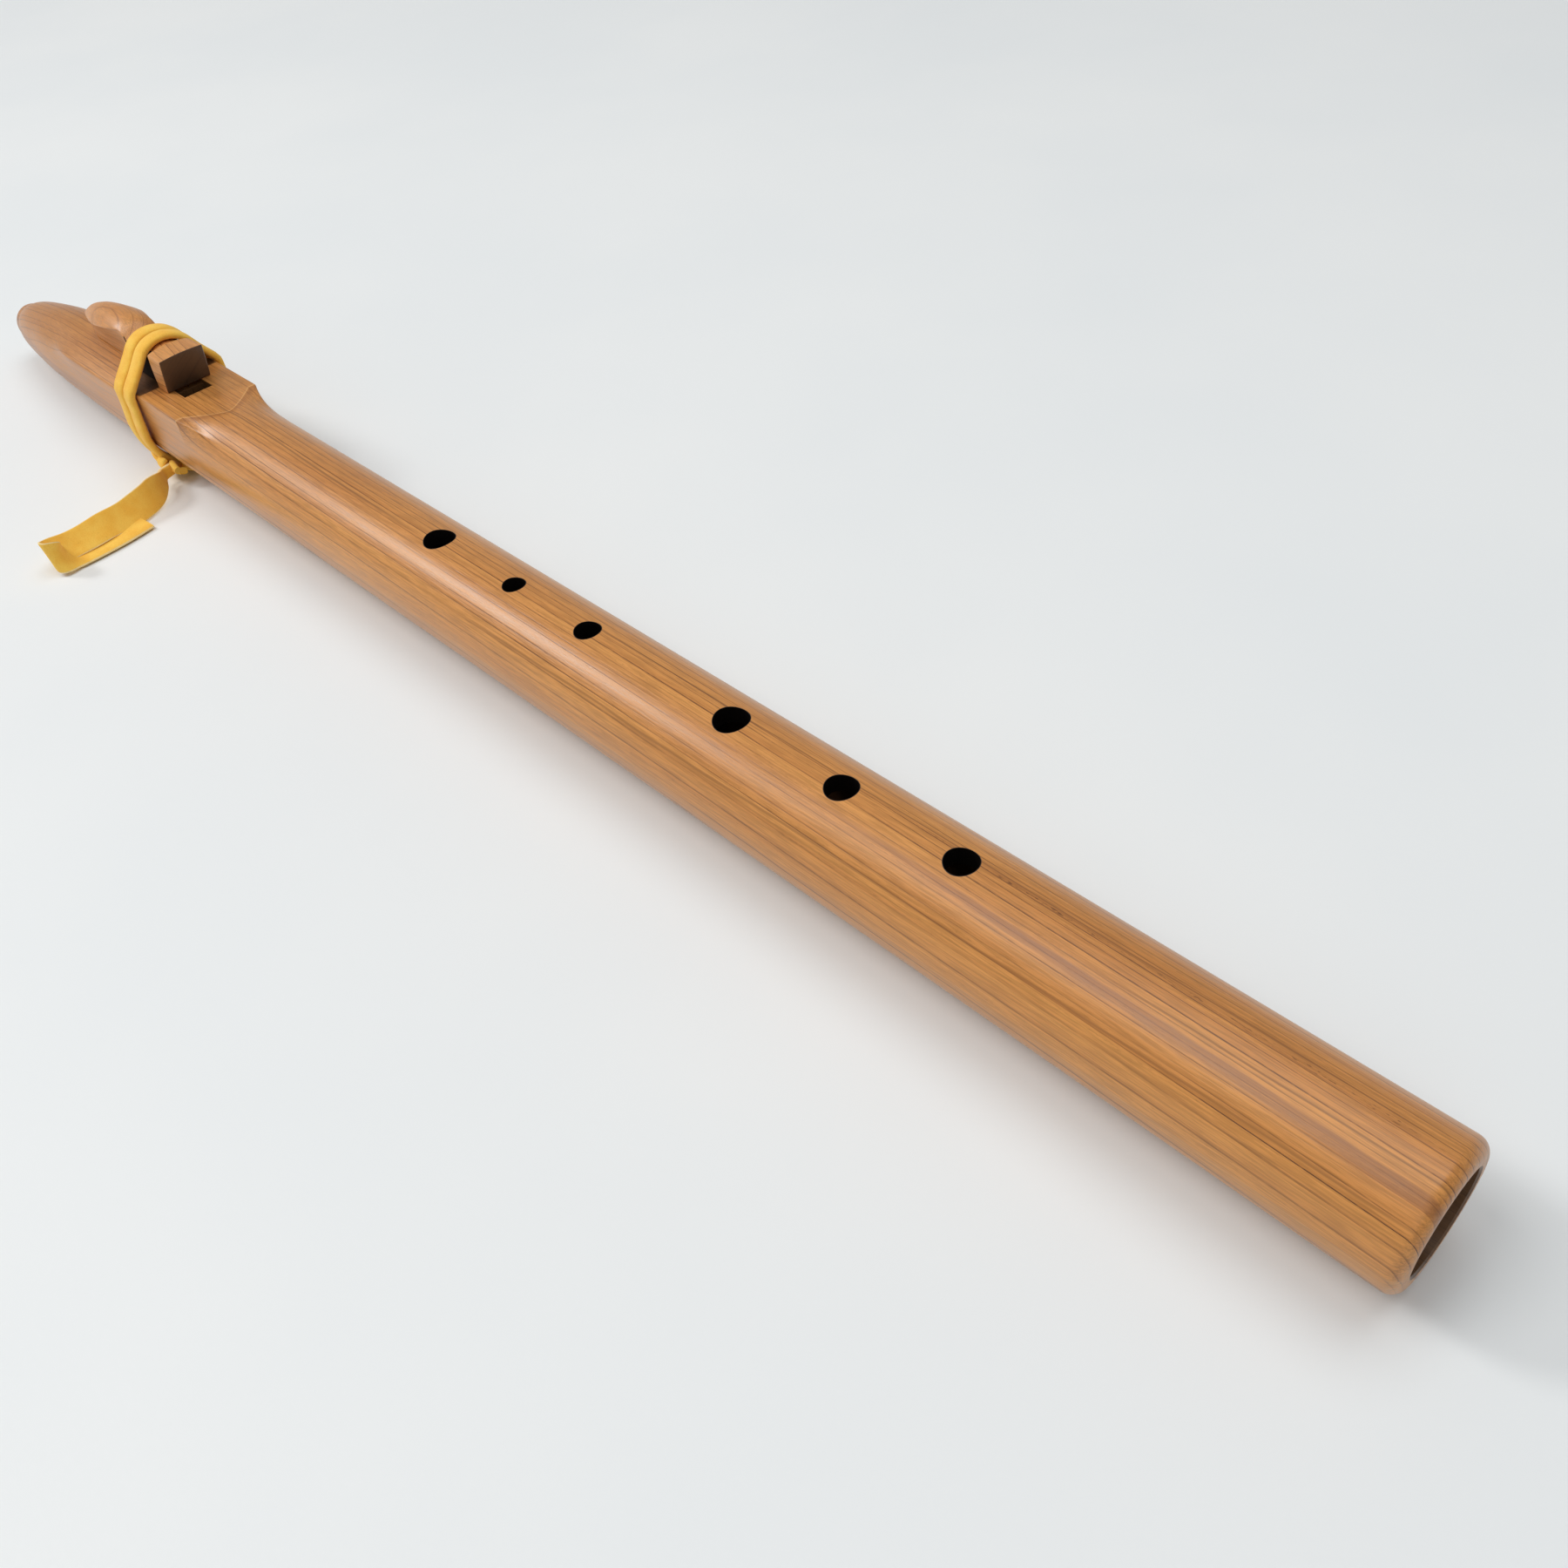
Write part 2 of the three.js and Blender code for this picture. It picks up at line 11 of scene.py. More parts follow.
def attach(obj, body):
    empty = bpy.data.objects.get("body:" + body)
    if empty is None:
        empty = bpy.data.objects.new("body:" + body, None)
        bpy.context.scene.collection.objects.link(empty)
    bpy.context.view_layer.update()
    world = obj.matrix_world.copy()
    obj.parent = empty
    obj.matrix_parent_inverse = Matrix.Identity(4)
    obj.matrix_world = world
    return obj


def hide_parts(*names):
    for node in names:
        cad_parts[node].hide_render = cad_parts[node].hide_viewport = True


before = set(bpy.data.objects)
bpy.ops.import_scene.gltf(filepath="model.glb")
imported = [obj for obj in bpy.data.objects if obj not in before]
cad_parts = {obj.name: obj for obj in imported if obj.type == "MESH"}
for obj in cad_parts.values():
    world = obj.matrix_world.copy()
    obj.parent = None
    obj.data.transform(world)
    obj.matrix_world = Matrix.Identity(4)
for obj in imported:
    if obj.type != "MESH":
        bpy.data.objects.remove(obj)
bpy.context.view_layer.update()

# Body, places along X are measured from the mouth tip
flute_length = 0.611
axis_height = 0.018475
bore_radius = 0.0111
wall = 0.004775
bore_shoulder = 0.003
foot_round = 0.003
bore_chamfer = 0.0004
cut_overrun = 0.004
head_length = 0.103
head_droop = 0.00506
head_stretch_share = 0.058
mouth_hole_radius = 0.0032
head_place_shares = (0, 0.006, 0.02, 0.055, 0.11, 0.185, 0.31, 0.46, 0.69, 0.86, 1)
head_radius_shares = (0.36, 0.42, 0.455, 0.48, 0.58, 0.668, 0.768, 0.868, 0.954, 0.988, 1)

# Chambers and windway
air_chamber_radius = 0.0085
air_chamber_start = 0.032
air_chamber_end = 0.126
air_chamber_drop = 0.001
chamber_wall = 0.027
windway_width = 0.0104
flue_depth = 0.0012
air_exit_length = 0.006
sound_hole_set_in = 0.0059
sound_hole_length = 0.0038
ramp_length = 0.003
ramp_depth = 0.0016
splitting_edge = 0.0004
undercut = 0.003

# Nest, the squared part of the body that carries the block
nest_cut = 0.001075
nest_side_cut = 0.000775
nest_lead_in = 0.026
nest_lead_under = 0.0015
nest_crown = 0.0046
crown_fade = 0.021
crown_fade_setback = 0.011
nest_reach = 0.0191
nest_tongue = 0.010
tongue_inset = 0.0026
scoop_length = 0.028
edge_softness = 0.00035
tongue_bend = 1.3
scoop_bend = 3

# Finger holes: distance of each centre from the foot, and radius
finger_holes = (
    (0.2980, 0.0046),
    (0.2623, 0.0032),
    (0.2305, 0.0036),
    (0.1764, 0.0045),
    (0.1408, 0.0040),
    (0.1067, 0.0039),
)

# Dark growth lines on top: start, end, Y at each, half width, strength
growth_lines = (
    (0.160, 0.310, -0.0001, -0.0027, 0.00030, 0.60),
    (0.330, 0.625, -0.0132, -0.0119, 0.00018, 0.45),
    (0.360, 0.612, 0.0020, 0.0030, 0.00018, 0.60),
    (0.530, 0.640, -0.0046, -0.0041, 0.00020, 0.60),
)

# Block
block_length = 0.0735
block_height = 0.0164
block_half_width = 0.0083
block_setback = 0.0009
block_offset = 0.0006
block_lean = 0.005
block_seat_gap = 0.0001
block_flare = 2.4
block_edge = 0.0004
lean_start_share = 0.9
# Each row: place, crown height, rim height, rim half width, base half width
block_section_shares = (
    (0.000, 0.48, 0.46, 0.14, 0.19),
    (0.020, 0.55, 0.50, 0.32, 0.29),
    (0.052, 0.63, 0.52, 0.44, 0.38),
    (0.105, 0.73, 0.54, 0.58, 0.43),
    (0.170, 0.82, 0.57, 0.72, 0.45),
    (0.250, 0.91, 0.61, 0.85, 0.46),
    (0.340, 0.97, 0.68, 0.92, 0.46),
    (0.420, 1.00, 0.75, 0.93, 0.47),
    (0.480, 1.00, 0.79, 0.87, 0.49),
    (0.540, 0.98, 0.82, 0.78, 0.53),
    (0.580, 0.94, 0.80, 0.74, 0.60),
    (0.615, 0.86, 0.73, 0.74, 0.68),
    (0.640, 0.77, 0.61, 0.78, 0.76),
    (0.905, 0.77, 0.61, 0.78, 0.78),
    (0.915, 0.81, 0.74, 0.92, 0.99),
    (0.950, 0.80, 0.745, 0.94, 0.99),
    (1.000, 0.785, 0.76, 0.96, 0.98),
)
bearing_row = 12
# Shares of the block's length that its waist takes up
waist_start_share = 0.62
waist_end_share = 0.914

# Lace
lace_gap = 0.0003
turn_width = 0.0068
turn_thickness = 0.0023
turn_spacing = 0.00055
lace_setback = 0.0193
corner_radius = 0.001
turn_count = 2
under_steps = 12
step_over_first = 2
step_over_last = 8
knot_step = 9
crease_depth = 0.0006
lace_step = 0.0009
lace_section = 28
turn_swell = 1.2
floor_swell = 0.98
# Waves in the wound lace's width: size, turns in radians for a metre, and start
lace_waves = ((0.5, 260, 0), (0.3, 610, 1.3), (0.2, 1370, 0.4))
# Degrees down from the top on the left, between which the lace is drawn together above the knot
draw_from, draw_to = 78, 116
draw_back_from, draw_back_to = 138, 168
drawn_share = 0.26

# Knot: two strands twisted about each other, and the loop drawn tight over them
knot_half_length = 0.0102
strand_width = 0.0043
strand_thickness = 0.0024
strand_twist = 1.15 * math.pi
strand_lift = 0.0029
strand_hump = 0.0006
strand_spread = 0.0015
strand_depth = 0.0009
loop_start = -0.12 * math.pi
loop_end = 1.12 * math.pi
loop_reach = 0.0035
loop_height = 0.0021
loop_lift = 0.0030
loop_width = 0.0050
loop_thickness = 0.0019

# Loose tail of the lace
tail_width = 0.0088
tail_spread = 1.18
tail_thickness = 0.0011
tail_lift = 0.0004
tail_bow = 0.0004
tail_section = 28
tail_edge_faces = 4
# At the knot the tail is folded narrow and thick, and held off the floor
tail_root_width = 0.42
tail_root_thickness = 1.9
tail_root_lift = 0.0026
tail_run_lift = 1.3 * tail_thickness
# Route of the loose tail, in millimetres from the mouth tip and from the middle
tail_run = (
    (152.2, -19.2), (156.8, -21.6), (160.8, -25.6), (163.4, -30.8), (165.0, -36.4),
    (166.2, -42.4), (167.1, -48.6), (167.8, -54.8), (168.2, -60.8), (169.0, -66.2),
    (172.2, -69.0), (175.4, -67.4), (176.5, -63.2), (176.6, -57.6), (176.4, -51.8),
    (176.0, -46.0), (175.2, -40.4), (174.2, -35.2),
)
# Where the tail comes out of the knot, ahead of its route
tail_root = ((150.4, -14.6), (151.2, -16.8))
# How far the tail leans outwards from upright, by share of its length
tail_lean_places = (0, 0.10, 0.20, 0.32, 0.44, 0.54, 0.60, 0.64, 0.68, 0.74, 1)
tail_lean_degrees = (0, 8, 22, 42, 55, 55, 36, -6, -50, -84, -86)
# Shares of its length between which the tail falls over on its lower edge
tail_fall_from, tail_fall_to = 0.60, 0.72

# Derived sizes and places
tube_radius = bore_radius + wall
sound_chamber_start = air_chamber_end + chamber_wall
sound_hole_start = sound_chamber_start + sound_hole_set_in
block_front = sound_hole_start - block_setback
block_start = block_front - block_length
nest_floor = tube_radius - nest_cut
nest_half_width = tube_radius - nest_side_cut
nest_rear_end = block_start + nest_lead_under
nest_rear_start = nest_rear_end - nest_lead_in
nest_flat_end = block_front - crown_fade_setback
nest_flat_start = nest_flat_end - crown_fade
nest_shoulder = sound_hole_start + nest_reach
scoop_end = nest_shoulder + scoop_length
tongue_half_width = nest_half_width - tongue_inset
turn_pitch = turn_width + turn_spacing
turn_start = block_front - lace_setback
seat_end = turn_start + turn_pitch + turn_width / 2 + 0.0010
part_from_flute = Vector((-flute_length / 2, 0, axis_height))

# Camera, where the photograph was taken from
camera_place = Vector((0.32651, -0.14721, 0.24660))
camera_facing = Vector((-0.56097, 0.45514, -0.69149))
camera_roll = math.radians(-7.944)
camera_lens = 32
camera_sensor = 36

# Lights: name, direction from the flute, distance, width, power and colour
soft_lights = (
    ("window_light", (-0.72, -0.37, 0.58), 3.0, 0.65, 25, (1.0, 0.98, 0.97)),
    ("lamp_light", (-0.26, -0.36, 0.90), 2.4, 1.2, 16, (1.0, 0.98, 0.97)),
    ("ceiling_light", (0.05, 0.25, 0.97), 2.4, 1.8, 17, (0.99, 0.99, 1.0)),
    ("room_light", (0.40, -0.62, 0.68), 2.4, 1.8, 5, (0.97, 0.99, 1.0)),
)
lit_place = Vector((0.10, 0, axis_height))
table_half_width = 4

# How a board of cedar is cut unless its own values say otherwise: where the pith of the log
# lies, how far it drifts in a metre, and how far apart and how wavy the year rings are
plain_board = {
    "Pith Y": 0.06, "Pith Z": 0.03, "Drift Y": 0.0, "Drift Z": 0.0, "Spacing": 0.0018, "Wander": 0.002,
}
origin = (0.0, 0.0, 0.0)


def linked(made):
    """Puts a new object into the scene."""
    bpy.context.scene.collection.objects.link(made)
    return made


def add_camera():
    camera = linked(bpy.data.objects.new("camera", bpy.data.cameras.new("camera")))
    camera.data.lens = camera_lens
    camera.data.sensor_width = camera_sensor
    camera.data.clip_start = 0.01
    turn = camera_facing.to_track_quat("-Z", "Y").to_matrix().to_4x4()
    camera.matrix_world = Matrix.Translation(camera_place) @ turn @ Matrix.Rotation(camera_roll, 4, "Z")
    bpy.context.scene.camera = camera


def at(x, y, z):
    """A place in the frame from one along, across and up from the body's middle line."""
    return part_from_flute + Vector((x, y, z))


def smooth_step(low, high, value):
    share = np.clip((value - low) / (high - low), 0, 1)
    return share * share * (3 - 2 * share)


def mesh_object(name, points, faces, sharp_degrees=35):
    mesh = bpy.data.meshes.new(name)
    mesh.from_pydata([tuple(point) for point in points], [], faces)
    piece = linked(bpy.data.objects.new(name, mesh))
    shade_smooth(piece, sharp_degrees)
    return piece


def shade_smooth(piece, sharp_degrees=35):
    mesh = piece.data
    mesh.polygons.foreach_set("use_smooth", [True] * len(mesh.polygons))
    mesh.set_sharp_from_angle(angle=math.radians(sharp_degrees))


def skinned(name, rings, sharp_degrees=35):
    """A closed skin over rings that turn anticlockwise as seen from the last one."""
    columns = len(rings[0])
    points = [point for ring in rings for point in ring]
    faces = []
    for row in range(len(rings) - 1):
        for column in range(columns):
            a = row * columns + column
            b = row * columns + (column + 1) % columns
            faces.append((a, b, b + columns, a + columns))
    last = len(points) - columns
    faces.append(tuple(reversed(range(columns))))
    faces.append(tuple(range(last, last + columns)))
    return mesh_object(name, points, faces, sharp_degrees)


def table_curve(places, values):
    """A smooth curve through a short table of places and values."""
    places = np.array(places, float)
    values = np.array(values, float)
    last = len(places) - 1
    low = np.maximum(np.arange(last + 1) - 1, 0)
    high = np.minimum(np.arange(last + 1) + 1, last)
    slopes = (values[high] - values[low]) / (places[high] - places[low])

    def read(place):
        i = min(last, max(1, int(np.searchsorted(places, place, side="right"))))
        width = places[i] - places[i - 1]
        t = min(1, max(0, (place - places[i - 1]) / width))
        first = values[i - 1] + slopes[i - 1] * width / 3
        second = values[i] - slopes[i] * width / 3
        ends = values[i - 1] * (1 - t) ** 3 + values[i] * t**3
        return ends + 3 * first * t * (1 - t) ** 2 + 3 * second * t**2 * (1 - t)

    return read


# The outside of the body, by the same sizes as the part's own solids

head_radius_at = table_curve(head_place_shares, head_radius_shares)


def round_radius(x):
    into_foot = max(0, x - (flute_length - foot_round))
    foot_cut = foot_round - math.sqrt(max(0, foot_round**2 - into_foot**2))
    return tube_radius * head_radius_at(min(1, x / head_length)) - foot_cut


def head_share(x):
    return max(0, 1 - x / head_length) ** 2


def soft_min(a, b):
    return min(a, b) - edge_softness * math.log(1 + math.exp(-abs(a - b) / edge_softness))


def nest_radius(x, angle):
    from_top = abs(angle)
    side = nest_half_width / max(math.sin(from_top), math.sin(math.radians(1)))
    if from_top > math.pi / 2:
        return soft_min(tube_radius, side)
    crown = nest_crown * (1 - smooth_step(nest_flat_start, nest_flat_end, x)) / nest_half_width**2
    bend = crown * math.sin(from_top) ** 2
    rise = math.sqrt(math.cos(from_top) ** 2 + 4 * bend * nest_floor)
    return soft_min(2 * nest_floor / (math.cos(from_top) + rise), side)


def crest_place(angle):
    reach = nest_floor * math.tan(min(abs(angle), math.radians(75)))
    across = min(reach, tongue_half_width)
    return nest_shoulder + nest_tongue * (1 - (across / tongue_half_width) ** tongue_bend)


def nest_share(x, angle):
    crest = crest_place(angle)
    past = min(1, max(0, (x - crest) / (scoop_end - crest)))
    return smooth_step(nest_rear_start, nest_rear_end, x) * (1 - past) ** scoop_bend


def body_point(x, angle):
    square = (nest_radius(x, angle) - tube_radius) * nest_share(x, angle)
    radius = round_radius(x) + square
    up = radius * math.cos(angle) * (1 + head_stretch_share * head_share(x)) - head_droop * head_share(x)
    return at(x, radius * math.sin(angle), up)


def body_angles(x):
    flatness = smooth_step(nest_flat_start, nest_flat_end, x)
    crowned = math.atan2(nest_half_width, nest_floor - nest_crown)
    flat = math.atan2(nest_half_width, nest_floor)
    corner = crowned + (flat - crowned) * flatness
    top_shares = [*np.linspace(0, 0.84, 12), 0.89, 0.93, 0.96, 0.98, 0.992]
    side_shares = [0, 0.01, 0.025, 0.05, 0.09, 0.15, *np.linspace(0.24, 0.92, 7)]
    half = [corner * share for share in top_shares]
    half += [corner + (math.pi / 2 - corner) * share for share in side_shares]
    half += [math.pi / 2 * (1 + share) for share in np.linspace(0, 1, 25)[:-1]]
    return [-angle for angle in half] + [math.pi] + half[:0:-1]


def body_stations():
    """Places along the body as functions of the angle, so that one ring follows the nest's crest."""
    head = [0, 0.003, 0.006, 0.01, 0.014, 0.02, 0.028, 0.04, *np.linspace(0.055, 0.55, 22)]
    rear = np.linspace(nest_rear_start, nest_rear_end, 10)
    middle = np.linspace(nest_rear_end, nest_flat_start, 12)[1:-1]
    flat = np.linspace(nest_flat_start, nest_flat_end, 8)
    before_crest = (0.25, 0.5, 0.75, 0.92, 0.985)
    past_crest = (0, 0.01, 0.025, 0.05, 0.08, 0.115, 0.15, 0.2, 0.26, 0.33, 0.42, 0.52, 0.64, 0.78, 0.9, 1)
    tube = np.linspace(scoop_end, flute_length - foot_round, 110)[1:-1]
    foot = flute_length - foot_round * (1 - np.sin(np.linspace(0, math.pi / 2, 12)))

    def level(x):
        return lambda angle: x

    def between(start, end, share):
        return lambda angle: start(angle) + (end(angle) - start(angle)) * share

    stations = [level(share * head_length) for share in head]
    stations += [level(x) for x in [*rear, *middle, *flat]]
    stations += [between(level(nest_flat_end), crest_place, share) for share in before_crest]
    stations += [between(crest_place, level(scoop_end), share) for share in past_crest]
    stations += [level(x) for x in [*tube, *foot]]
    return stations


def body_outside():
    rings = []
    for place in body_stations():
        rings.append([body_point(place(angle), angle) for angle in body_angles(place(0))])
    return skinned("body_outside", rings)


# What is bored, routed and carved out of the body


def turned_along_x(name, profile, sides, drop=0, tilt=0):
    """A round solid along X from places and radii, tilted about the mouth tip and lowered."""
    rings = []
    for place, radius in profile:
        ring = []
        for side in range(sides):
            turn = -2 * math.pi * side / sides
            point = Vector((place, radius * math.sin(turn), radius * math.cos(turn)))
            ring.append(Matrix.Rotation(-tilt, 3, "Y") @ point + part_from_flute - Vector((0, 0, drop)))
        rings.append(ring)
    return skinned(name, rings)


def sound_bore():
    profile = (
        (sound_chamber_start, bore_radius - bore_shoulder),
        (sound_chamber_start + bore_shoulder, bore_radius),
        (flute_length - bore_chamfer, bore_radius),
        (flute_length + cut_overrun, bore_radius + bore_chamfer + cut_overrun),
    )
    return turned_along_x("sound_bore", profile, 96)


def air_chamber():
    profile = (
        (air_chamber_start, mouth_hole_radius),
        (air_chamber_start + air_chamber_radius, air_chamber_radius),
        (air_chamber_end, air_chamber_radius),
    )
    return turned_along_x("air_chamber", profile, 64, drop=air_chamber_drop)


def mouth_hole():
    end = air_chamber_start + air_chamber_radius
    tilt = math.atan2(head_droop - air_chamber_drop, end)
    profile = ((-cut_overrun, mouth_hole_radius), (end, mouth_hole_radius))
    return turned_along_x("mouth_hole", profile, 48, drop=head_droop, tilt=tilt)


def box_cut(name, start, end, width, bottom, top):
    corners = ((-width / 2, bottom), (width / 2, bottom), (width / 2, top), (-width / 2, top))
    return skinned(name, [[at(x, y, z) for y, z in corners] for x in (start, end)])


def sound_hole():
    """Straight behind, with a ramp and a sharp splitting edge in front."""
    edge = sound_hole_start + sound_hole_length
    top = nest_floor + cut_overrun
    outline = (
        (sound_hole_start - splitting_edge, top),
        (sound_hole_start - splitting_edge, bore_radius / 2),
        (edge + undercut, bore_radius / 2),
        (edge, nest_floor - ramp_depth - splitting_edge),
        (edge, nest_floor - ramp_depth),
        (edge + ramp_length, nest_floor),
        (edge + ramp_length, top),
    )
    sides = (windway_width / 2, -windway_width / 2)
    return skinned("sound_hole", [[at(x, y, z) for x, z in outline] for y in sides])


def finger_hole(index, from_foot, radius):
    middle = at(flute_length - from_foot, 0, 0)
    rings = []
    for z in (0, tube_radius + cut_overrun):
        ring = []
        for turn in np.linspace(0, 2 * math.pi, 65)[:-1]:
            ring.append(middle + Vector((radius * math.cos(turn), radius * math.sin(turn), z)))
        rings.append(ring)
    return skinned(f"finger_hole_{index}", rings)


def body_cutters():
    exit_start = air_chamber_end - air_exit_length
    top = nest_floor + cut_overrun
    flue_end = sound_hole_start - splitting_edge / 2
    cutters = [
        sound_bore(),
        air_chamber(),
        mouth_hole(),
        box_cut("flue", exit_start, flue_end, windway_width, nest_floor - flue_depth, top),
        box_cut("air_exit", exit_start, air_chamber_end, windway_width, air_chamber_drop, nest_floor),
        sound_hole(),
    ]
    cutters += [finger_hole(i, from_foot, radius) for i, (from_foot, radius) in enumerate(finger_holes)]
    return cutters


def cut(piece, tool, operation):
    modifier = piece.modifiers.new("cut", "BOOLEAN")
    modifier.operation = operation
    modifier.solver = "EXACT"
    modifier.object = tool
    old = piece.data
    result = bpy.data.meshes.new_from_object(piece.evaluated_get(bpy.context.evaluated_depsgraph_get()))
    piece.modifiers.clear()
    piece.data = result
    bpy.data.meshes.remove(old)


def mark_crest(piece):
    """Keeps the ridge between the nest's flat top and its scooped shoulder crisp."""
    mesh = piece.data
    on_crest = []
    for vertex in mesh.vertices:
        x, y, z = vertex.co - part_from_flute
        near = x > nest_flat_end and z > 0 and abs(x - crest_place(math.atan2(y, z))) < edge_softness / 10
        on_crest.append(near)
    for edge in mesh.edges:
        if on_crest[edge.vertices[0]] and on_crest[edge.vertices[1]]:
            edge.use_edge_sharp = True


def body_halves():
    """The two glued halves: the outside less every bore, hole and channel, split at the glue line."""
    whole = body_outside()
    cutters = body_cutters()
    for tool in cutters:
        cut(whole, tool, "DIFFERENCE")
    height = 2 * tube_radius + cut_overrun
    halves = []
    for name, bottom, top in (("upper_half", 0, height), ("lower_half", -height, 0)):
        half = linked(bpy.data.objects.new(name, whole.data.copy()))
        slab = box_cut("slab", -cut_overrun, flute_length + cut_overrun, 2 * height, bottom, top)
        cut(half, slab, "INTERSECT")
        bpy.data.objects.remove(slab)
        shade_smooth(half)
        mark_crest(half)
        halves.append(half)
    for tool in (whole, *cutters):
        bpy.data.objects.remove(tool)
    return halves


# Block


def eased_rows(rows, place):
    """Reads the block's table between its rows without overshooting them."""
    table = np.array(rows)
    places, values = table[:, 0], table[:, 1:]
    steps = np.diff(values, axis=0) / np.diff(places)[:, None]
    slopes = np.zeros_like(values)
    before, after = steps[:-1], steps[1:]
    same = before * after > 0
    slopes[1:-1][same] = 2 * (before * after)[same] / (before + after)[same]
    slopes[0], slopes[-1] = steps[0], steps[-1]
    i = min(len(places) - 2, max(0, int(np.searchsorted(places, place, side="right")) - 1))
    width = places[i + 1] - places[i]
    t = (place - places[i]) / width
    start = values[i] * (1 + 2 * t) * (1 - t) ** 2 + slopes[i] * width * t * (1 - t) ** 2
    return start + values[i + 1] * t * t * (3 - 2 * t) + slopes[i + 1] * width * t * t * (t - 1)


def rounded_outline(corners, points_each=5):
    """An outline of corners and radii as points, each corner turned on its own radius."""
    points = []
    for i, (y, z, radius) in enumerate(corners):
        here = Vector((y, z))
        if radius == 0:
            points.append(here)
            continue
        before = Vector(corners[i - 1][:2]) - here
        after = Vector(corners[(i + 1) % len(corners)][:2]) - here
        reach = min(radius, before.length / 2.2, after.length / 2.2)
        start = here + before.normalized() * reach
        end = here + after.normalized() * reach
        for share in np.linspace(0, 1, points_each):
            points.append(start * (1 - share) ** 2 + here * 2 * share * (1 - share) + end * share**2)
    return points


def block_outline(place):
    crown, rim, rim_width, base_width = eased_rows(block_section_shares, place)
    crown, rim = crown * block_height, rim * block_height
    rim_width, base_width = rim_width * block_half_width, base_width * block_half_width
    half = [(base_width, 0, block_edge)]
    for share in (0.14, 0.28, 0.42, 0.55, 0.68, 0.8, 0.9):
        half.append((base_width + (rim_width - base_width) * share**block_flare, rim * share, 0))
    half.append((rim_width, rim, block_edge))
    for share in (0.86, 0.72, 0.58, 0.44, 0.3, 0.15):
        half.append((rim_width * share, crown - (crown - rim) * share**2, 0))
    whole = half + [(0, crown, 0)] + [(-y, z, radius) for y, z, radius in reversed(half)]
    return rounded_outline(whole)


def block_places():
    ends = [0, 0.0015, 0.004, 0.008, 0.013]
    waist_end = [0.905, 0.9075, 0.91, 0.9125, 0.915]
    middle = [*np.linspace(0.02, 0.9, 72), *waist_end, *np.linspace(0.922, 0.985, 8)]
    edge = block_edge / block_length
    front = [1 - edge * (1 - math.sin(turn)) for turn in np.linspace(0, math.pi / 2, 5)]
    return [*ends, *middle, *front]


def block_ring(place):
    into_front = max(0, (place - 1) * block_length + block_edge)
    worn = block_edge - math.sqrt(max(0, block_edge**2 - into_front**2))
    lean = block_lean / block_height * smooth_step(lean_start_share, 1, place)
    middle = Vector((0, 0.5 * eased_rows(block_section_shares, place)[1] * block_height))
    seat = Vector((block_start + place * block_length, block_offset, nest_floor + block_seat_gap))
    ring = []
    for point in block_outline(place):
        y, z = point + (middle - point).normalized() * worn
        ring.append(part_from_flute + seat + Vector((lean * z, y, z)))
    return ring


def carved_block():
    return skinned("carved_block", [block_ring(place) for place in block_places()], sharp_degrees=40)


# Lace


def tangent_angle(first, second):
    """Angle from straight up of the straight line that touches two circles on their right."""
    along = math.atan2(second[0] - first[0], second[1] - first[1])
    apart = math.hypot(second[0] - first[0], second[1] - first[1])
    return (along - math.acos((first[2] - second[2]) / apart)) % (2 * math.pi)


def bearing_arcs():
    """Arcs that a turn of lace bears on, each a circle and two angles from straight up."""
    _, crown_share, rim_share, width_share, _ = block_section_shares[bearing_row]
    crown_top = crown_share * block_height + block_seat_gap
    drop = crown_top - rim_share * block_height - block_seat_gap
    crown_radius = ((width_share * block_half_width) ** 2 + drop**2) / (2 * drop)
    crown = (block_offset, nest_floor + crown_top - crown_radius, crown_radius)
    mirrored = (-block_offset, *crown[1:])
    inset = nest_half_width - corner_radius
    right = (inset, nest_floor - corner_radius, corner_radius)
    left = (-inset, *right[1:])
    under = (0, 0, tube_radius)
    a = tangent_angle(crown, right)
    b = tangent_angle(right, under)
    c = tangent_angle(mirrored, right)
    whole = 2 * math.pi
    return {
        "crown": (crown, -c, a),
        "right": (right, a, b),
        "under": (under, b, whole - b),
        "left": (left, whole - b, whole - c),
    }


def arc_points(arc, start_share, end_share, count, turns_at):
    (y, z, radius), start, end = arc
    points = []
    for share in np.linspace(start_share, end_share, count):
        angle = start + (end - start) * share
        out = Vector((0, math.sin(angle), math.cos(angle)))
        x = turn_start + turn_pitch * turns_at(share)
        points.append((Vector((x, y, z)) + out * radius, out))
    return points


def winding_line():
    """Points on the wood under the middle of the lace, each with its outward direction."""
    arcs = bearing_arcs()
    line = arc_points(arcs["under"], (knot_step + 0.6) / under_steps, 1, 14, lambda share: 0)
    for turn in range(turn_count):
        last = (knot_step - 0.6) / under_steps if turn == turn_count - 1 else 1

        def crossing(share, turn=turn):
            return turn + smooth_step(step_over_first, step_over_last, share * under_steps - 0.5)

        line += arc_points(arcs["left"], 0, 1, 7, lambda share, turn=turn: turn)
        line += arc_points(arcs["crown"], 0, 1, 22, lambda share, turn=turn: turn)
        line += arc_points(arcs["right"], 0, 1, 7, lambda share, turn=turn: turn)
        line += arc_points(arcs["under"], 0, last, 44, crossing)
    return line


def lengths_along(points):
    """How far along a line each of its points lies."""
    steps = np.linalg.norm(np.diff(points, axis=0), axis=1)
    return np.concatenate([[0], np.cumsum(steps)])


def read_along(places, far, values):
    """What a line's values are at the given places along it."""
    return np.transpose([np.interp(places, far, column) for column in np.transpose(values)])


def direction_at(points, i):
    """The way that a line runs at one of its points."""
    return (points[min(len(points) - 1, i + 1)] - points[max(0, i - 1)]).normalized()


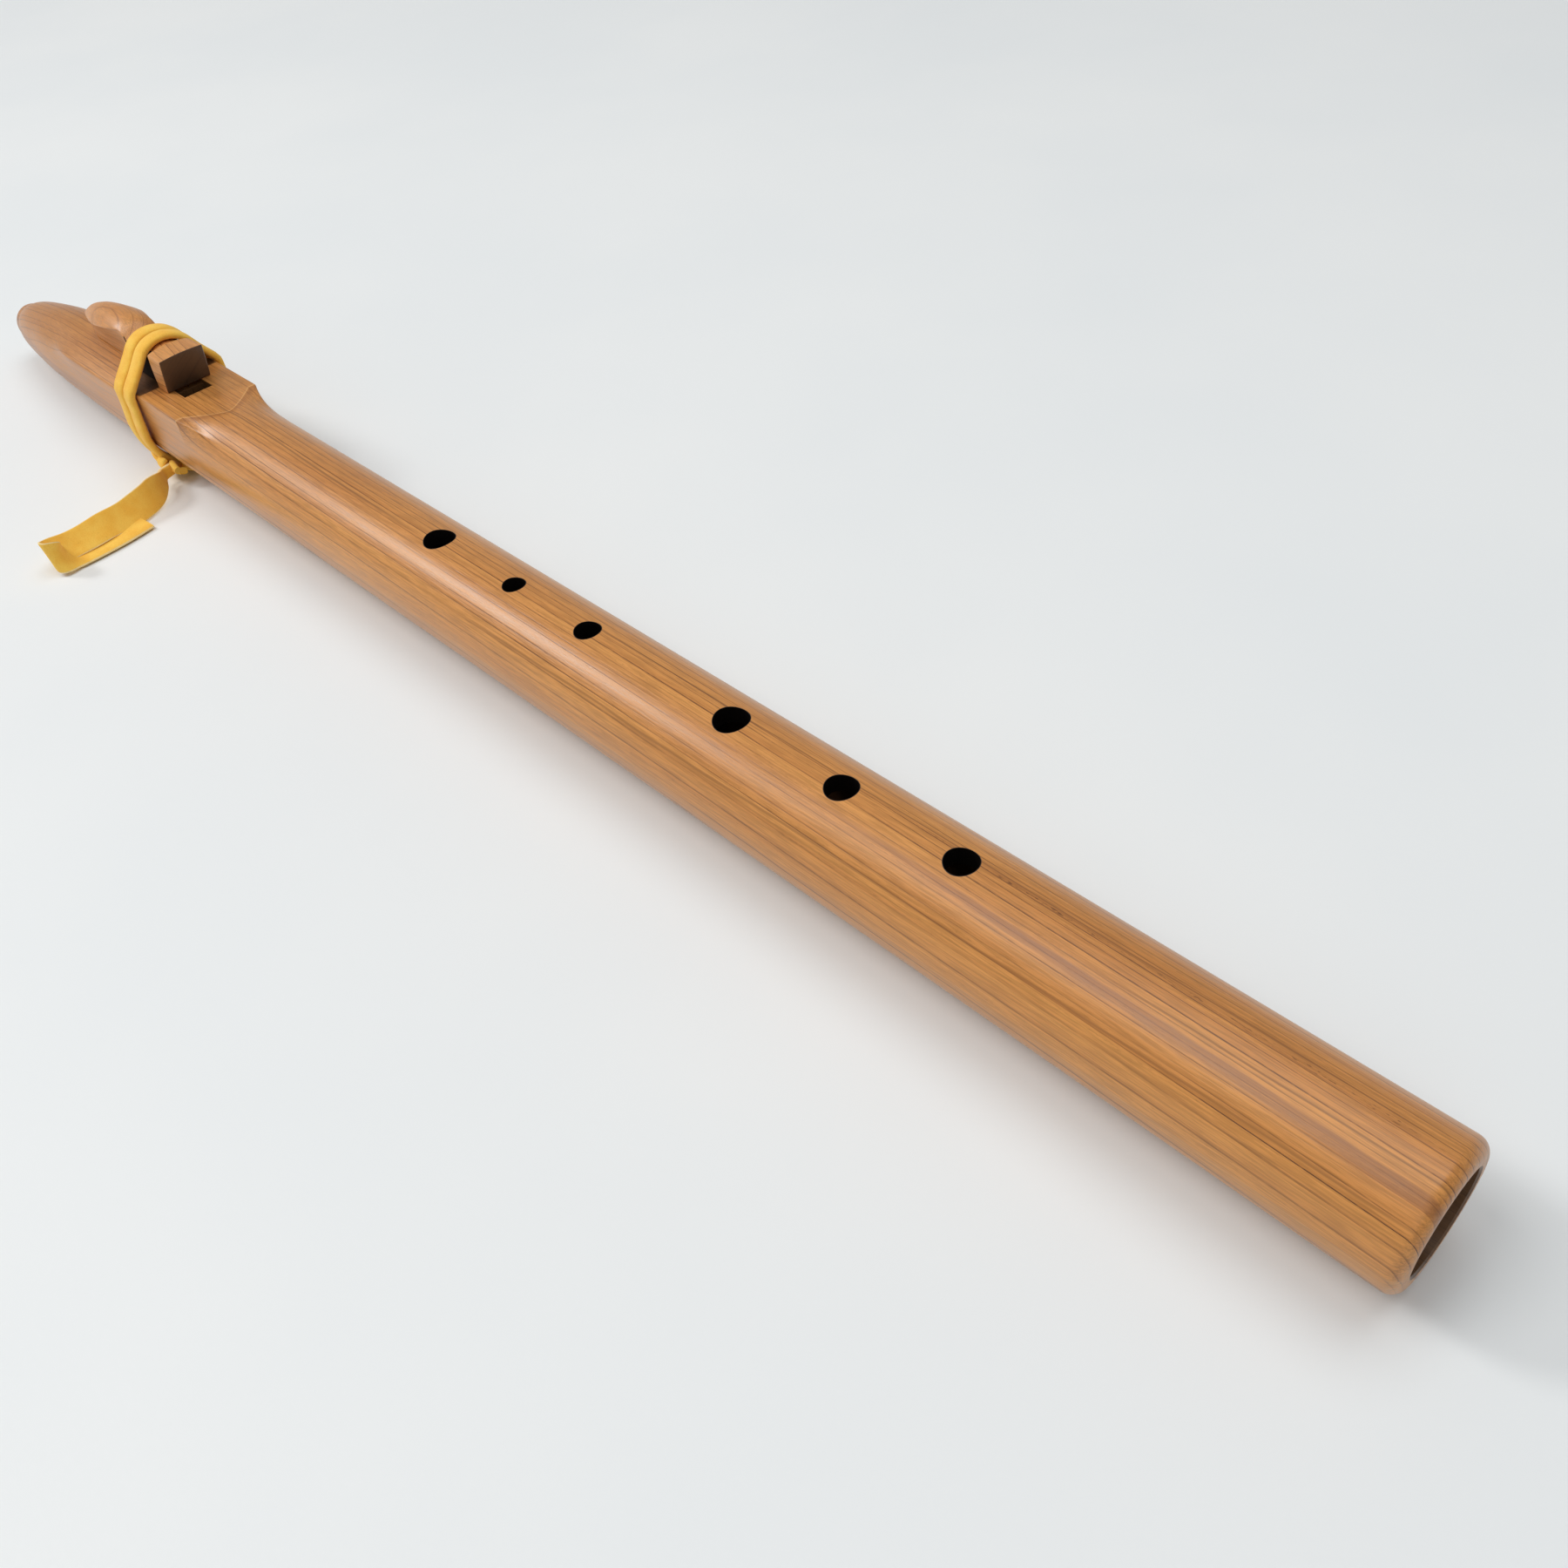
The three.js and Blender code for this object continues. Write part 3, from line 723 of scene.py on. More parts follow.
def evenly_spaced(line, spacing):
    """The same line with points at equal steps, its outward directions turned in between."""
    points = np.array([tuple(point) for point, _ in line])
    outs = np.array([tuple(out) for _, out in line])
    far = lengths_along(points)
    places = np.linspace(0, far[-1], int(far[-1] / spacing) + 1)
    moved = read_along(places, far, points)
    turned = read_along(places, far, outs)
    return [(Vector(point), Vector(out).normalized()) for point, out in zip(moved, turned)]


def flat_oval(count, squareness):
    """Shares of the half width and half thickness around a soft flat section."""
    points = []
    for turn in np.linspace(0, 2 * math.pi, count + 1)[:-1]:
        across = math.copysign(abs(math.cos(turn)) ** (2 / squareness), math.cos(turn))
        out = math.copysign(abs(math.sin(turn)) ** (2 / squareness), math.sin(turn))
        points.append((across, out))
    return points


def lace_ring(middle, along, out, width, thickness, crease_at=None, crease=0):
    across = out.cross(along)
    ring = []
    for across_share, out_share in flat_oval(lace_section, 2.7):
        fold = 0
        if crease_at is not None and out_share > 0:
            fold = crease * math.exp(-(((across_share - crease_at) / 0.13) ** 2))
        ring.append(middle + across * (across_share * width / 2) + out * (out_share * thickness / 2 - fold))
    return ring


def drawn_in(out):
    """1 low on the left, where both turns are drawn together above the knot, and 0 elsewhere."""
    below = math.degrees(-math.atan2(out.y, out.z))
    return smooth_step(draw_from, draw_to, below) * (1 - smooth_step(draw_back_from, draw_back_to, below))


def wound_lace():
    """The lace bunched into a soft band, wound twice around the block and the body."""
    line = evenly_spaced(winding_line(), lace_step)
    together = turn_start + turn_pitch * 0.55
    points = [point for point, _ in line]
    rings = []
    for i, (point, out) in enumerate(line):
        along = direction_at(points, i)
        drawn = drawn_share * drawn_in(out)
        point = Vector((together + (point.x - together) * (1 - drawn), point.y, point.z))
        far = i * lace_step
        wave = sum(size * math.sin(far * rate + start) for size, rate, start in lace_waves)
        width = turn_width * (0.965 + 0.035 * wave) * (1 - drawn)
        swell = turn_swell + (floor_swell - turn_swell) * smooth_step(-0.88, -0.96, out.z)
        thickness = turn_thickness * swell * (0.96 + 0.04 * math.sin(far * 470 + 2)) * (1 + 0.2 * drawn)
        middle = part_from_flute + point + out * (lace_gap + thickness / 2)
        crease_at = 0.28 + 0.3 * math.sin(far * 38 + 0.7)
        crease = crease_depth * (0.55 + 0.45 * math.sin(far * 71))
        rings.append(lace_ring(middle, along, out, width, thickness, crease_at, crease))
    return skinned("wound_lace", rings, sharp_degrees=60)


def knot_frame():
    """Foot of the knot on the body's underside, and its directions along, across and out."""
    _, start, end = bearing_arcs()["under"]
    angle = start + (end - start) * knot_step / under_steps
    out = Vector((0, math.sin(angle), math.cos(angle)))
    across = Vector((0, math.cos(angle), -math.sin(angle)))
    foot = at(turn_start + turn_pitch, 0, 0) + out * (tube_radius + lace_gap)
    return foot, Vector((1, 0, 0)), across, out


def swept(name, line, width_at, thickness_at, out_at, sharp_degrees=60):
    rings = []
    for i, point in enumerate(line):
        along = direction_at(line, i)
        share = i / (len(line) - 1)
        out = out_at(share)
        out = (out - along * out.dot(along)).normalized()
        rings.append(lace_ring(point, along, out, width_at(share), thickness_at(share)))
    return skinned(name, rings, sharp_degrees)


def joined(name, pieces):
    bpy.ops.object.select_all(action="DESELECT")
    for piece in pieces:
        piece.select_set(True)
    bpy.context.view_layer.objects.active = pieces[0]
    bpy.ops.object.join()
    pieces[0].name = name
    return pieces[0]


def tied_knot():
    """The lace's two ends twisted about each other, with the last loop drawn tight over them."""
    foot, along, across, out = knot_frame()
    strands = []
    for index, phase in enumerate((0, math.pi)):
        line = []
        for share in np.linspace(-1, 1, 60):
            turn = phase + share * strand_twist
            draw = 1 - 0.35 * abs(share) ** 3
            lift = strand_lift + strand_hump * math.exp(-((share / 0.4) ** 2))
            aside = across * (math.cos(turn) * strand_spread * draw)
            above = out * (math.sin(turn) * strand_depth * draw + lift)
            line.append(foot + along * (share * knot_half_length * 0.92) + aside + above)

        def outwards(share, phase=phase):
            return out + across * (0.6 * math.cos(phase + (2 * share - 1) * strand_twist))

        def width(share):
            return strand_width * (0.70 + 0.30 * math.sin(math.pi * share))

        strands.append(swept(f"strand_{index}", line, width, lambda share: strand_thickness, outwards))
    return joined("tied_knot", [*strands, knot_loop(foot, along, across, out)])


def knot_loop(foot, along, across, out):
    line = []
    for turn in np.linspace(loop_start, loop_end, 40):
        reach = across * (math.cos(turn) * loop_reach) + out * (math.sin(turn) * loop_height)
        line.append(foot + out * loop_lift + reach + along * (0.0013 * math.cos(turn) + 0.0004))

    def outwards(share):
        turn = loop_start + (loop_end - loop_start) * share
        return across * math.cos(turn) + out * (math.sin(turn) + 0.25)

    return swept("loop", line, lambda share: loop_width, lambda share: loop_thickness, outwards)


def tail_line(count=150):
    """Evenly spaced points on the tail's route, in metres from the mouth tip."""
    route = np.array(tail_root + tail_run) / 1000
    far = lengths_along(route)
    curves = [table_curve(far, route[:, axis]) for axis in range(2)]
    fine = np.array([[curve(place) for curve in curves] for place in np.linspace(0, far[-1], 900)])
    fine_far = lengths_along(fine)
    spots = read_along(np.linspace(0, fine_far[-1], count), fine_far, fine)
    return [Vector((x, y, 0)) for x, y in spots]


def lace_tail_ribbon():
    """The flat loose end of the lace, pinched at the knot, leaning back and doubled towards the flute."""
    line = tail_line()
    lean_at = table_curve(tail_lean_places, tail_lean_degrees)
    floor = Vector((-flute_length / 2, 0, 0))
    rings = []
    path = []
    for i, point in enumerate(line):
        share = i / (len(line) - 1)
        along = direction_at(line, i)
        outwards = Vector((along.y, -along.x, 0))
        lean = math.radians(lean_at(share))
        upright = Vector((0, 0, 1)) * math.cos(lean) + outwards * math.sin(lean)
        face = along.cross(upright)
        opening = smooth_step(0.03, 0.19, share)
        width = tail_width * tail_spread * (tail_root_width + (1 - tail_root_width) * opening)
        thickness = tail_thickness * (tail_root_thickness + (1 - tail_root_thickness) * opening)
        fallen = smooth_step(tail_fall_from, tail_fall_to, share)
        point = point + outwards * (width / 2 * math.sin(lean) * fallen)
        height = tail_lift + width / 2 * abs(math.cos(lean)) + thickness / 2 * abs(math.sin(lean))
        height += tail_run_lift * smooth_step(0.30, 0.42, share) * (1 - fallen)
        height += tail_root_lift * (1 - smooth_step(0.02, 0.22, share))
        middle = floor + point + Vector((0, 0, height))
        path.append(middle)
        ring = []
        for across_share, out_share in flat_oval(tail_section, 3.4):
            bow = tail_bow * opening * (1 - across_share**2)
            offset = upright * (across_share * width / 2) + face * (out_share * thickness / 2 + bow)
            ring.append(middle + offset)
        rings.append(ring)
    return skinned("lace_tail_ribbon", rings, sharp_degrees=60), path


# Materials


class Value:
    """A number, place or colour in a shader tree, so that sums on it read as plain arithmetic."""

    def __init__(self, socket):
        self.socket = socket

    def __add__(self, other):
        return calc("ADD", self, other)

    def __sub__(self, other):
        return calc("SUBTRACT", self, other)

    def __mul__(self, other):
        return calc("MULTIPLY", self, other)

    def __truediv__(self, other):
        return calc("DIVIDE", self, other)


def feed(socket, value):
    if isinstance(value, Value):
        socket.id_data.links.new(value.socket, socket)
    else:
        socket.default_value = value


def fed_node(kind, inputs, **settings):
    """A new node in the tree of the values that feed it."""
    tree = next(value.socket.id_data for value in inputs.values() if isinstance(value, Value))
    made = tree.nodes.new(kind)
    for name, value in settings.items():
        setattr(made, name, value)
    for socket, value in inputs.items():
        feed(made.inputs[socket], value)
    return made


def fed_value(kind, inputs, **settings):
    return Value(fed_node(kind, inputs, **settings).outputs[0])


def calc(operation, *values, clamp=False):
    return fed_value("ShaderNodeMath", dict(enumerate(values)), operation=operation, use_clamp=clamp)


def ease(value, low, high, start=0.0, end=1.0):
    """A smooth change from start to end while the value goes from low to high."""
    inputs = {"Value": value, "From Min": low, "From Max": high, "To Min": start, "To Max": end}
    return fed_value("ShaderNodeMapRange", inputs, interpolation_type="SMOOTHSTEP")


def within(value, half_width, softness):
    """1 where the value lies within the half width of 0."""
    return ease(calc("ABSOLUTE", value), half_width + softness, half_width - softness)


def tint(share, under, over, blend="MIX"):
    inputs = {0: share, 6: under, 7: over}
    return Value(fed_node("ShaderNodeMix", inputs, data_type="RGBA", blend_type=blend).outputs[2])


def split(place):
    """A place or a direction as its three parts."""
    return [Value(socket) for socket in fed_node("ShaderNodeSeparateXYZ", {0: place}).outputs]


def noise(place, scale, detail=3.0, roughness=0.55):
    inputs = {"Vector": place, "Scale": scale, "Detail": detail, "Roughness": roughness}
    return fed_value("ShaderNodeTexNoise", inputs)


def long_noise(place, along, across, detail=3.0, roughness=0.55):
    """Noise drawn out along the wood, by its spots in a metre along and across."""
    drawn = fed_value("ShaderNodeMapping", {"Vector": place, "Scale": (along, across, across)})
    return noise(drawn, 1.0, detail, roughness)


def colour(red, green, blue):
    """A colour as it is read off a screen, from 0 to 255."""
    shares = [value / 255 for value in (red, green, blue)]
    linear = [share / 12.92 if share < 0.04045 else ((share + 0.055) / 1.055) ** 2.4 for share in shares]
    return (*linear, 1.0)


def new_group(name, inputs, outputs):
    """A new node group, and the values that it is given by name."""
    tree = bpy.data.node_groups.new(name, "ShaderNodeTree")
    for socket, value in inputs.items():
        kind = "Float" if isinstance(value, float) else {3: "Vector", 4: "Color"}[len(value)]
        made = tree.interface.new_socket(socket, in_out="INPUT", socket_type=f"NodeSocket{kind}")
        made.default_value = value
    for socket in outputs:
        kind = "Color" if socket == "Colour" else "Float"
        tree.interface.new_socket(socket, in_out="OUTPUT", socket_type=f"NodeSocket{kind}")
    given = tree.nodes.new("NodeGroupInput").outputs
    return tree, {socket: Value(given[socket]) for socket in inputs}


def filled_group(tree, results):
    out = tree.nodes.new("NodeGroupOutput").inputs
    for socket, value in results.items():
        feed(out[socket], value)
    return tree


def placed(group, inputs):
    """The outputs of a node group, by name, where a material or another group uses it."""
    made = fed_node("ShaderNodeGroup", inputs, node_tree=group)
    return {socket.name: Value(socket) for socket in made.outputs}


def growth_rings():
    """Year rings around a pith line beside the board: a tone for each ring and its dark edge."""
    tree, given = new_group(
        "growth_rings", {"Place": origin, **plain_board}, ("Ring Tone", "Late Wood", "Edge Line"),
    )
    place = given["Place"]
    x, y, z = split(place)
    away_y = y - given["Pith Y"] + x * given["Drift Y"]
    away_z = z - given["Pith Z"] + x * given["Drift Z"]
    far = calc("SQRT", away_y * away_y + away_z * away_z)
    slow = long_noise(place, 3.2, 22, 1.5) - 0.5
    quick = long_noise(place, 16, 190, 2.0) - 0.5
    bent = far + slow * given["Wander"] + quick * (given["Wander"] * 0.07)
    count = bent / given["Spacing"]
    inputs = {"W": count, "Scale": 0.31, "Detail": 1.0}
    count = fed_value("ShaderNodeTexNoise", inputs, noise_dimensions="1D") * 1.8 + count
    into_ring = calc("FRACT", count)
    tone = fed_value("ShaderNodeTexWhiteNoise", {"W": calc("FLOOR", count)}, noise_dimensions="1D")
    line = ease(into_ring, 0.84, 0.95) * ease(into_ring, 1.0, 0.98)
    weight = calc("POWER", tone, 1.3) * 0.75 + 0.40
    weight = weight * ease(long_noise(place, 11, 90, 2.0), 0.32, 0.56, 0.3, 1.0)
    weight = weight * ease(long_noise(place, 420, 1600, 1.5), 0.28, 0.5, 0.6, 1.0)
    return filled_group(tree, {
        "Ring Tone": tone,
        "Late Wood": calc("POWER", into_ring, 3.0),
        "Edge Line": calc("MULTIPLY", line, weight, clamp=True),
    })


def wood_fibre():
    """Fine fibres and broader streaks that run along the wood."""
    parts = ("Fibre", "Streak", "Vein", "Cloud")
    tree, given = new_group("wood_fibre", {"Place": origin, "Fineness": 1.0}, parts)
    sized = fed_value("ShaderNodeVectorMath", {0: given["Place"], 3: given["Fineness"]}, operation="SCALE")
    return filled_group(tree, {
        "Fibre": long_noise(sized, 110, 2600, 3.0, 0.62),
        "Streak": long_noise(sized, 9, 520),
        "Vein": long_noise(sized, 5, 1300, 1.5),
        "Cloud": long_noise(sized, 14, 48, 2.0),
    })


def pore_ticks():
    """Short dark ticks, strung lengthwise like the dots of a dotted line."""
    tree, given = new_group("pore_ticks", {"Place": origin, "Amount": 0.3}, ("Tick",))
    spots = ease(long_noise(given["Place"], 620, 3400, 1.0), 0.56, 0.7)
    rows = ease(long_noise(given["Place"], 5, 900, 2.0), 0.5, 0.68)
    return filled_group(tree, {"Tick": spots * rows * given["Amount"]})


def cedar_grain(ticks):
    """Cedar cut at its own place beside the pith, with rings that fade where the cut runs along them."""
    tree, given = new_group("cedar_grain", {
        "Place": origin, **plain_board,
        "Pale": colour(211, 147, 78), "Deep": colour(176, 110, 52), "Line": colour(84, 46, 24),
        "Fineness": 1.0, "Ticks": 0.3, "Right Flank": 1.0,
    }, ("Colour", "Height", "Fibre", "Streak", "Cloud"))
    place = given["Place"]
    rings = placed(growth_rings(), {"Place": place, **{name: given[name] for name in plain_board}})
    fibre = placed(wood_fibre(), {"Place": place, "Fineness": given["Fineness"]})
    tick = placed(ticks, {"Place": place, "Amount": given["Ticks"]})["Tick"]
    share = rings["Ring Tone"] * 0.28 + rings["Late Wood"] * 0.22
    share = share + ease(fibre["Streak"], 0.3, 0.7) * 0.26 + ease(fibre["Cloud"], 0.3, 0.7) * 0.24
    base = tint(calc("SUBTRACT", share, 0.06, clamp=True), given["Pale"], given["Deep"])
    fine = ease(fibre["Fibre"], 0.34, 0.66, 0.84, 1.13)
    shade = fed_value("ShaderNodeCombineColor", {0: fine, 1: fine, 2: fine})
    base = tint(1.0, base, shade, "MULTIPLY")
    edges = ease(split(place)[1], 0.004, 0.014, 1.0, given["Right Flank"])
    base = tint(rings["Edge Line"] * edges, base, given["Line"])
    base = tint(ease(fibre["Vein"], 0.60, 0.72, 0.0, 0.16), base, given["Line"])
    return filled_group(tree, {
        "Colour": tint(tick, base, given["Line"]),
        "Height": rings["Edge Line"] * -0.35 + fibre["Fibre"],
        "Fibre": fibre["Fibre"],
        "Streak": fibre["Streak"],
        "Cloud": fibre["Cloud"],
    })


def dark_bores_and_head_shade():
    """The body's wood darker inside its bores, and painted shade towards the mouth end."""
    inputs = {"Place": origin, "Wood": colour(211, 147, 78), "Head Shade": 0.5}
    tree, given = new_group("dark_bores_and_head_shade", inputs, ("Colour",))
    from_head, y, up = on_flute(given["Place"])
    base = tint(inside_bores(from_head, y, up) * 0.85, given["Wood"], colour(78, 55, 38))
    # Painted shade that darkens the wood towards the mouth end.
    head_shade = ease(from_head, 0.16, 0.06, 0.0, given["Head Shade"])
    return filled_group(tree, {"Colour": tint(head_shade, base, colour(146, 90, 46))})


def deerskin_nap():
    """Soft golden skin with a short nap, paler where it is rubbed and browner in its hollows."""
    inputs = {"Place": origin, "Rubbed": colour(255, 206, 84), "Deep": colour(250, 190, 66)}
    tree, given = new_group("deerskin_nap", inputs, ("Colour", "Height", "Nap"))
    cloud = noise(given["Place"], 160)
    nap = noise(given["Place"], 2600, 4.0, 0.65)
    pores = noise(given["Place"], 1150, 2.0)
    base = tint(ease(cloud, 0.3, 0.7), given["Rubbed"], given["Deep"])
    base = tint(ease(nap, 0.4, 0.8, 0.0, 0.25), base, colour(214, 152, 48))
    base = tint(ease(pores, 0.64, 0.76, 0.0, 0.25), base, colour(196, 132, 40))
    return filled_group(tree, {"Colour": base, "Height": nap * 0.6 + cloud * 1.2, "Nap": nap})


def new_material(name):
    material = bpy.data.materials.new(name)
    material.use_nodes = True
    nodes = material.node_tree.nodes
    place = Value(nodes.new("ShaderNodeTexCoord").outputs["Object"])
    return material, nodes["Principled BSDF"].inputs, place


def cover(shader, base, rough, height, bump_metres, bump_strength=0.5):
    bump = {"Height": height, "Distance": bump_metres, "Strength": bump_strength}
    feed(shader["Base Color"], base)
    feed(shader["Roughness"], rough)
    feed(shader["Normal"], fed_value("ShaderNodeBump", bump))


def oil(shader, base, wood, smooth, rough):
    cover(shader, base, ease(wood["Fibre"], 0.3, 0.7, smooth, rough), wood["Height"], 0.00012)
    shader["IOR"].default_value = 1.42
    shader["Coat Weight"].default_value = 0.24
    shader["Coat Roughness"].default_value = 0.30


def on_flute(place):
    """A place as it lies from the mouth tip along the body, to the right, and up from its middle."""
    x, y, z = split(place)
    return x + flute_length / 2, y, z - axis_height


def largest(values):
    most = values[0]
    for value in values[1:]:
        most = calc("MAXIMUM", most, value)
    return most


def inside_bores(from_head, y, up):
    """1 in the bore, the air chamber and the mouth hole, and 0 on the outside."""
    mouth_end = air_chamber_start + air_chamber_radius
    masks = []
    for start, end, start_drop, end_drop, radius in (
        (-cut_overrun, mouth_end, head_droop, air_chamber_drop, mouth_hole_radius),
        (air_chamber_start, air_chamber_end + cut_overrun, air_chamber_drop, air_chamber_drop,
         air_chamber_radius),
        (sound_chamber_start, flute_length + cut_overrun, 0, 0, bore_radius),
    ):
        slope = (end_drop - start_drop) / (end - start)
        over_axis = up + (from_head * slope + (start_drop - slope * start))
        far = calc("SQRT", y * y + over_axis * over_axis)
        near = ease(far, radius + 0.0005, radius + 0.0003)
        masks.append(near * calc("GREATER_THAN", from_head, start) * calc("LESS_THAN", from_head, end))
    return largest(masks)


def upper_cedar(grain, bores_and_head_shade, ticks):
    material, shader, place = new_material("upper_cedar")
    wood = placed(grain, {
        "Place": place, "Pith Y": 0.066, "Pith Z": 0.040, "Drift Y": 0.008, "Drift Z": -0.004,
        "Spacing": 0.0021, "Wander": 0.0032,
        "Pale": colour(211, 147, 78), "Deep": colour(176, 110, 52), "Line": colour(84, 46, 24),
        "Ticks": 0.2, "Right Flank": 0.35,
    })
    spot = on_flute(place)
    base = purple_band(*spot, wood, wood["Colour"])
    base = long_lines(*spot, wood, base)
    base = tick_row(*spot, place, ticks, base)
    base = placed(bores_and_head_shade, {"Place": place, "Wood": base, "Head Shade": 0.30})["Colour"]
    base = painted_seat_shade(*spot, base)
    base = painted_hole_shade(*spot, base)
    base = crest_highlight_and_shade(*spot, base)
    base = tint(burnt_holes(*spot), base, colour(14, 10, 8))
    oil(shader, base, wood, 0.30, 0.42)
    return material


def painted_seat_shade(from_head, y, up, base):
    """Painted shade on the nest's top under the lace and the block."""
    under = (
        ease(from_head, seat_end + 0.0004, seat_end - 0.0004)
        * ease(from_head, nest_flat_start, nest_flat_start + 0.004)
        * ease(calc("ABSOLUTE", y), nest_half_width, nest_half_width - 0.0008)
        * ease(up, nest_floor - 0.0056, nest_floor - 0.0030)
    )
    return tint(under * 0.85, base, colour(46, 30, 20))


def painted_hole_shade(from_head, y, up, base):
    """Painted shade on the walls of the sounding hole and its ramp."""
    ramp_end = sound_hole_start + sound_hole_length + ramp_length
    half_width = windway_width / 2
    walls = (
        ease(from_head, ramp_end + 0.0002, ramp_end - 0.0002)
        * ease(from_head, block_front - 0.004, block_front)
        * ease(calc("ABSOLUTE", y), half_width + 0.0003, half_width + 0.0001)
        * ease(up, nest_floor, nest_floor - 0.0003)
    )
    return tint(walls * 0.82, base, colour(52, 36, 27))


def crest_highlight_and_shade(from_head, y, up, base):
    """The nest's front ridge, with a painted highlight along its top and painted shade in the hollow ahead
    of it.
    """
    across = calc("MINIMUM", calc("ABSOLUTE", y) / tongue_half_width, 1.0)
    crest = calc("POWER", across, tongue_bend) * -nest_tongue + (nest_shoulder + nest_tongue)
    ahead = from_head - crest
    upper = ease(up, nest_floor - 0.004, nest_floor - 0.003)
    ridge = within(ahead, 0.00024, 0.00018) * upper
    hollow = ease(ahead, 0.0002, 0.0007) * ease(ahead, 0.0042, 0.0012) * upper
    base = tint(hollow * 0.40, base, colour(140, 84, 46))
    return tint(ridge * 0.50, base, colour(232, 180, 116))


def purple_band(from_head, y, up, wood, base):
    """A plum-coloured stripe of heartwood that runs down to the foot, left of the finger holes."""
    drift = from_head * -0.0118 - 0.0005
    sway = (wood["Cloud"] - 0.5) * 0.0014 + y
    half_width = ease(from_head, 0.44, 0.60, 0.0005, 0.0011)
    near = ease(calc("ABSOLUTE", sway - drift) - half_width, 0.00035, -0.00025)
    share = near * ease(up, 0.004, 0.006) * ease(from_head, 0.40, 0.58)
    share = share * ease(wood["Streak"], 0.25, 0.6, 0.26, 0.54)
    return tint(share, base, colour(124, 76, 48))


def long_lines(from_head, y, up, wood, base):
    """The few dark growth lines that run on without a break."""
    upper = ease(up, 0.0, 0.001)
    sway = (wood["Cloud"] - 0.5) * 0.0016 + y
    for start, end, y_start, y_end, half_width, strength in growth_lines:
        slope = (y_end - y_start) / (end - start)
        drift = from_head * slope + (y_start - slope * start)
        near = within(sway - drift, half_width, half_width * 0.7)
        fade = upper * ease(from_head, start, start + 0.03) * ease(from_head, end, end - 0.03)
        share = near * fade * ease(wood["Fibre"], 0.3, 0.6, 0.5 * strength, strength)
        base = tint(share, base, colour(92, 54, 32))
    return base


def tick_row(from_head, y, up, place, ticks, base):
    """A strip of open grain beside the finger holes, dotted with short dark ticks."""
    fade = ease(from_head, 0.47, 0.52) * ease(from_head, 0.607, 0.596)
    amount = within(y - 0.0024, 0.0010, 0.0008) * ease(up, 0.0, 0.001) * fade
    tick = placed(ticks, {"Place": place, "Amount": amount})["Tick"]
    base = tint(amount * 0.20, base, colour(128, 78, 44))
    return tint(tick, base, colour(84, 48, 28))


def burnt_holes(from_head, y, up):
    """1 on the burnt walls of the finger holes, with a crisp edge at each rim."""
    masks = []
    for from_foot, radius in finger_holes:
        along = from_head - (flute_length - from_foot)
        far = calc("SQRT", along * along + y * y)
        masks.append(ease(far, radius + 0.00022, radius + 0.00008))
    return largest(masks) * ease(up, 0.0, 0.001)


def lower_cedar(grain, bores_and_head_shade):
    material, shader, place = new_material("lower_cedar")
    wood = placed(grain, {
        "Place": place, "Pith Y": 0.062, "Pith Z": 0.046, "Drift Y": 0.012, "Drift Z": -0.006,
        "Spacing": 0.0017, "Wander": 0.0045,
        "Pale": colour(210, 150, 86), "Deep": colour(178, 115, 60), "Line": colour(116, 72, 42),
        "Ticks": 0.15, "Right Flank": 0.35,
    })
    base = placed(bores_and_head_shade, {"Place": place, "Wood": wood["Colour"], "Head Shade": 0.60})["Colour"]
    oil(shader, base, wood, 0.30, 0.42)
    return material


def block_cedar(grain):
    material, shader, place = new_material("block_cedar")
    wood = placed(grain, {
        "Place": place, "Pith Y": 0.052, "Pith Z": -0.020, "Drift Y": 0.05, "Drift Z": -0.04,
        "Spacing": 0.0019, "Wander": 0.004,
        "Pale": colour(218, 154, 87), "Deep": colour(184, 118, 62), "Line": colour(128, 78, 44),
        "Fineness": 1.3, "Ticks": 0.4,
    })
    normal = Value(material.node_tree.nodes.new("ShaderNodeNewGeometry").outputs["Normal"])
    near_front = ease(on_flute(place)[0], block_front - 0.0012, block_front - 0.0004)
    # The block's front face: darker end grain, with painted shade on top of it.
    end_grain_and_shade = ease(split(normal)[0], 0.45, 0.8) * near_front
    oil(shader, tint(end_grain_and_shade * 0.90, wood["Colour"], colour(60, 49, 42)), wood, 0.34, 0.46)
    return material


def painted_waist_shade():
    """Painted shade on the sides of the block's waist under the lace: near-black wood, dull and without
    oil.
    """
    material, shader, place = new_material("painted_waist_shade")
    fibre = long_noise(place, 90, 1200)
    base = tint(ease(fibre, 0.3, 0.7), colour(30, 20, 15), colour(46, 31, 22))
    cover(shader, base, ease(fibre, 0.3, 0.7, 0.85, 0.95), fibre, 0.0001)
    shader["Specular IOR Level"].default_value = 0.1
    return material


def line_waist(piece, material):
    piece.data.materials.append(material)
    for face in piece.data.polygons:
        share = (face.center.x + flute_length / 2 - block_start) / block_length
        # Side faces of the waist take the painted shade.
        if waist_start_share < share < waist_end_share and abs(face.normal.y) > 0.5:
            face.material_index = 1


def line_edges(piece, material):
    """The cut edges of the loose tail show the skin's paler middle, made paler still as a painted
    highlight.
    """
    piece.data.materials.append(material)
    for face in piece.data.polygons:
        if (face.index % tail_section + tail_edge_faces / 2) % (tail_section / 2) < tail_edge_faces:
            face.material_index = 1


def deerskin(name, nap, rubbed, deep):
    material, shader, place = new_material(name)
    skin = placed(nap, {"Place": place, "Rubbed": rubbed, "Deep": deep})
    cover(shader, skin["Colour"], ease(skin["Nap"], 0.3, 0.7, 0.78, 0.92), skin["Height"], 0.00022, 0.6)
    shader["Sheen Weight"].default_value = 0.10
    shader["Sheen Roughness"].default_value = 0.5
    return material


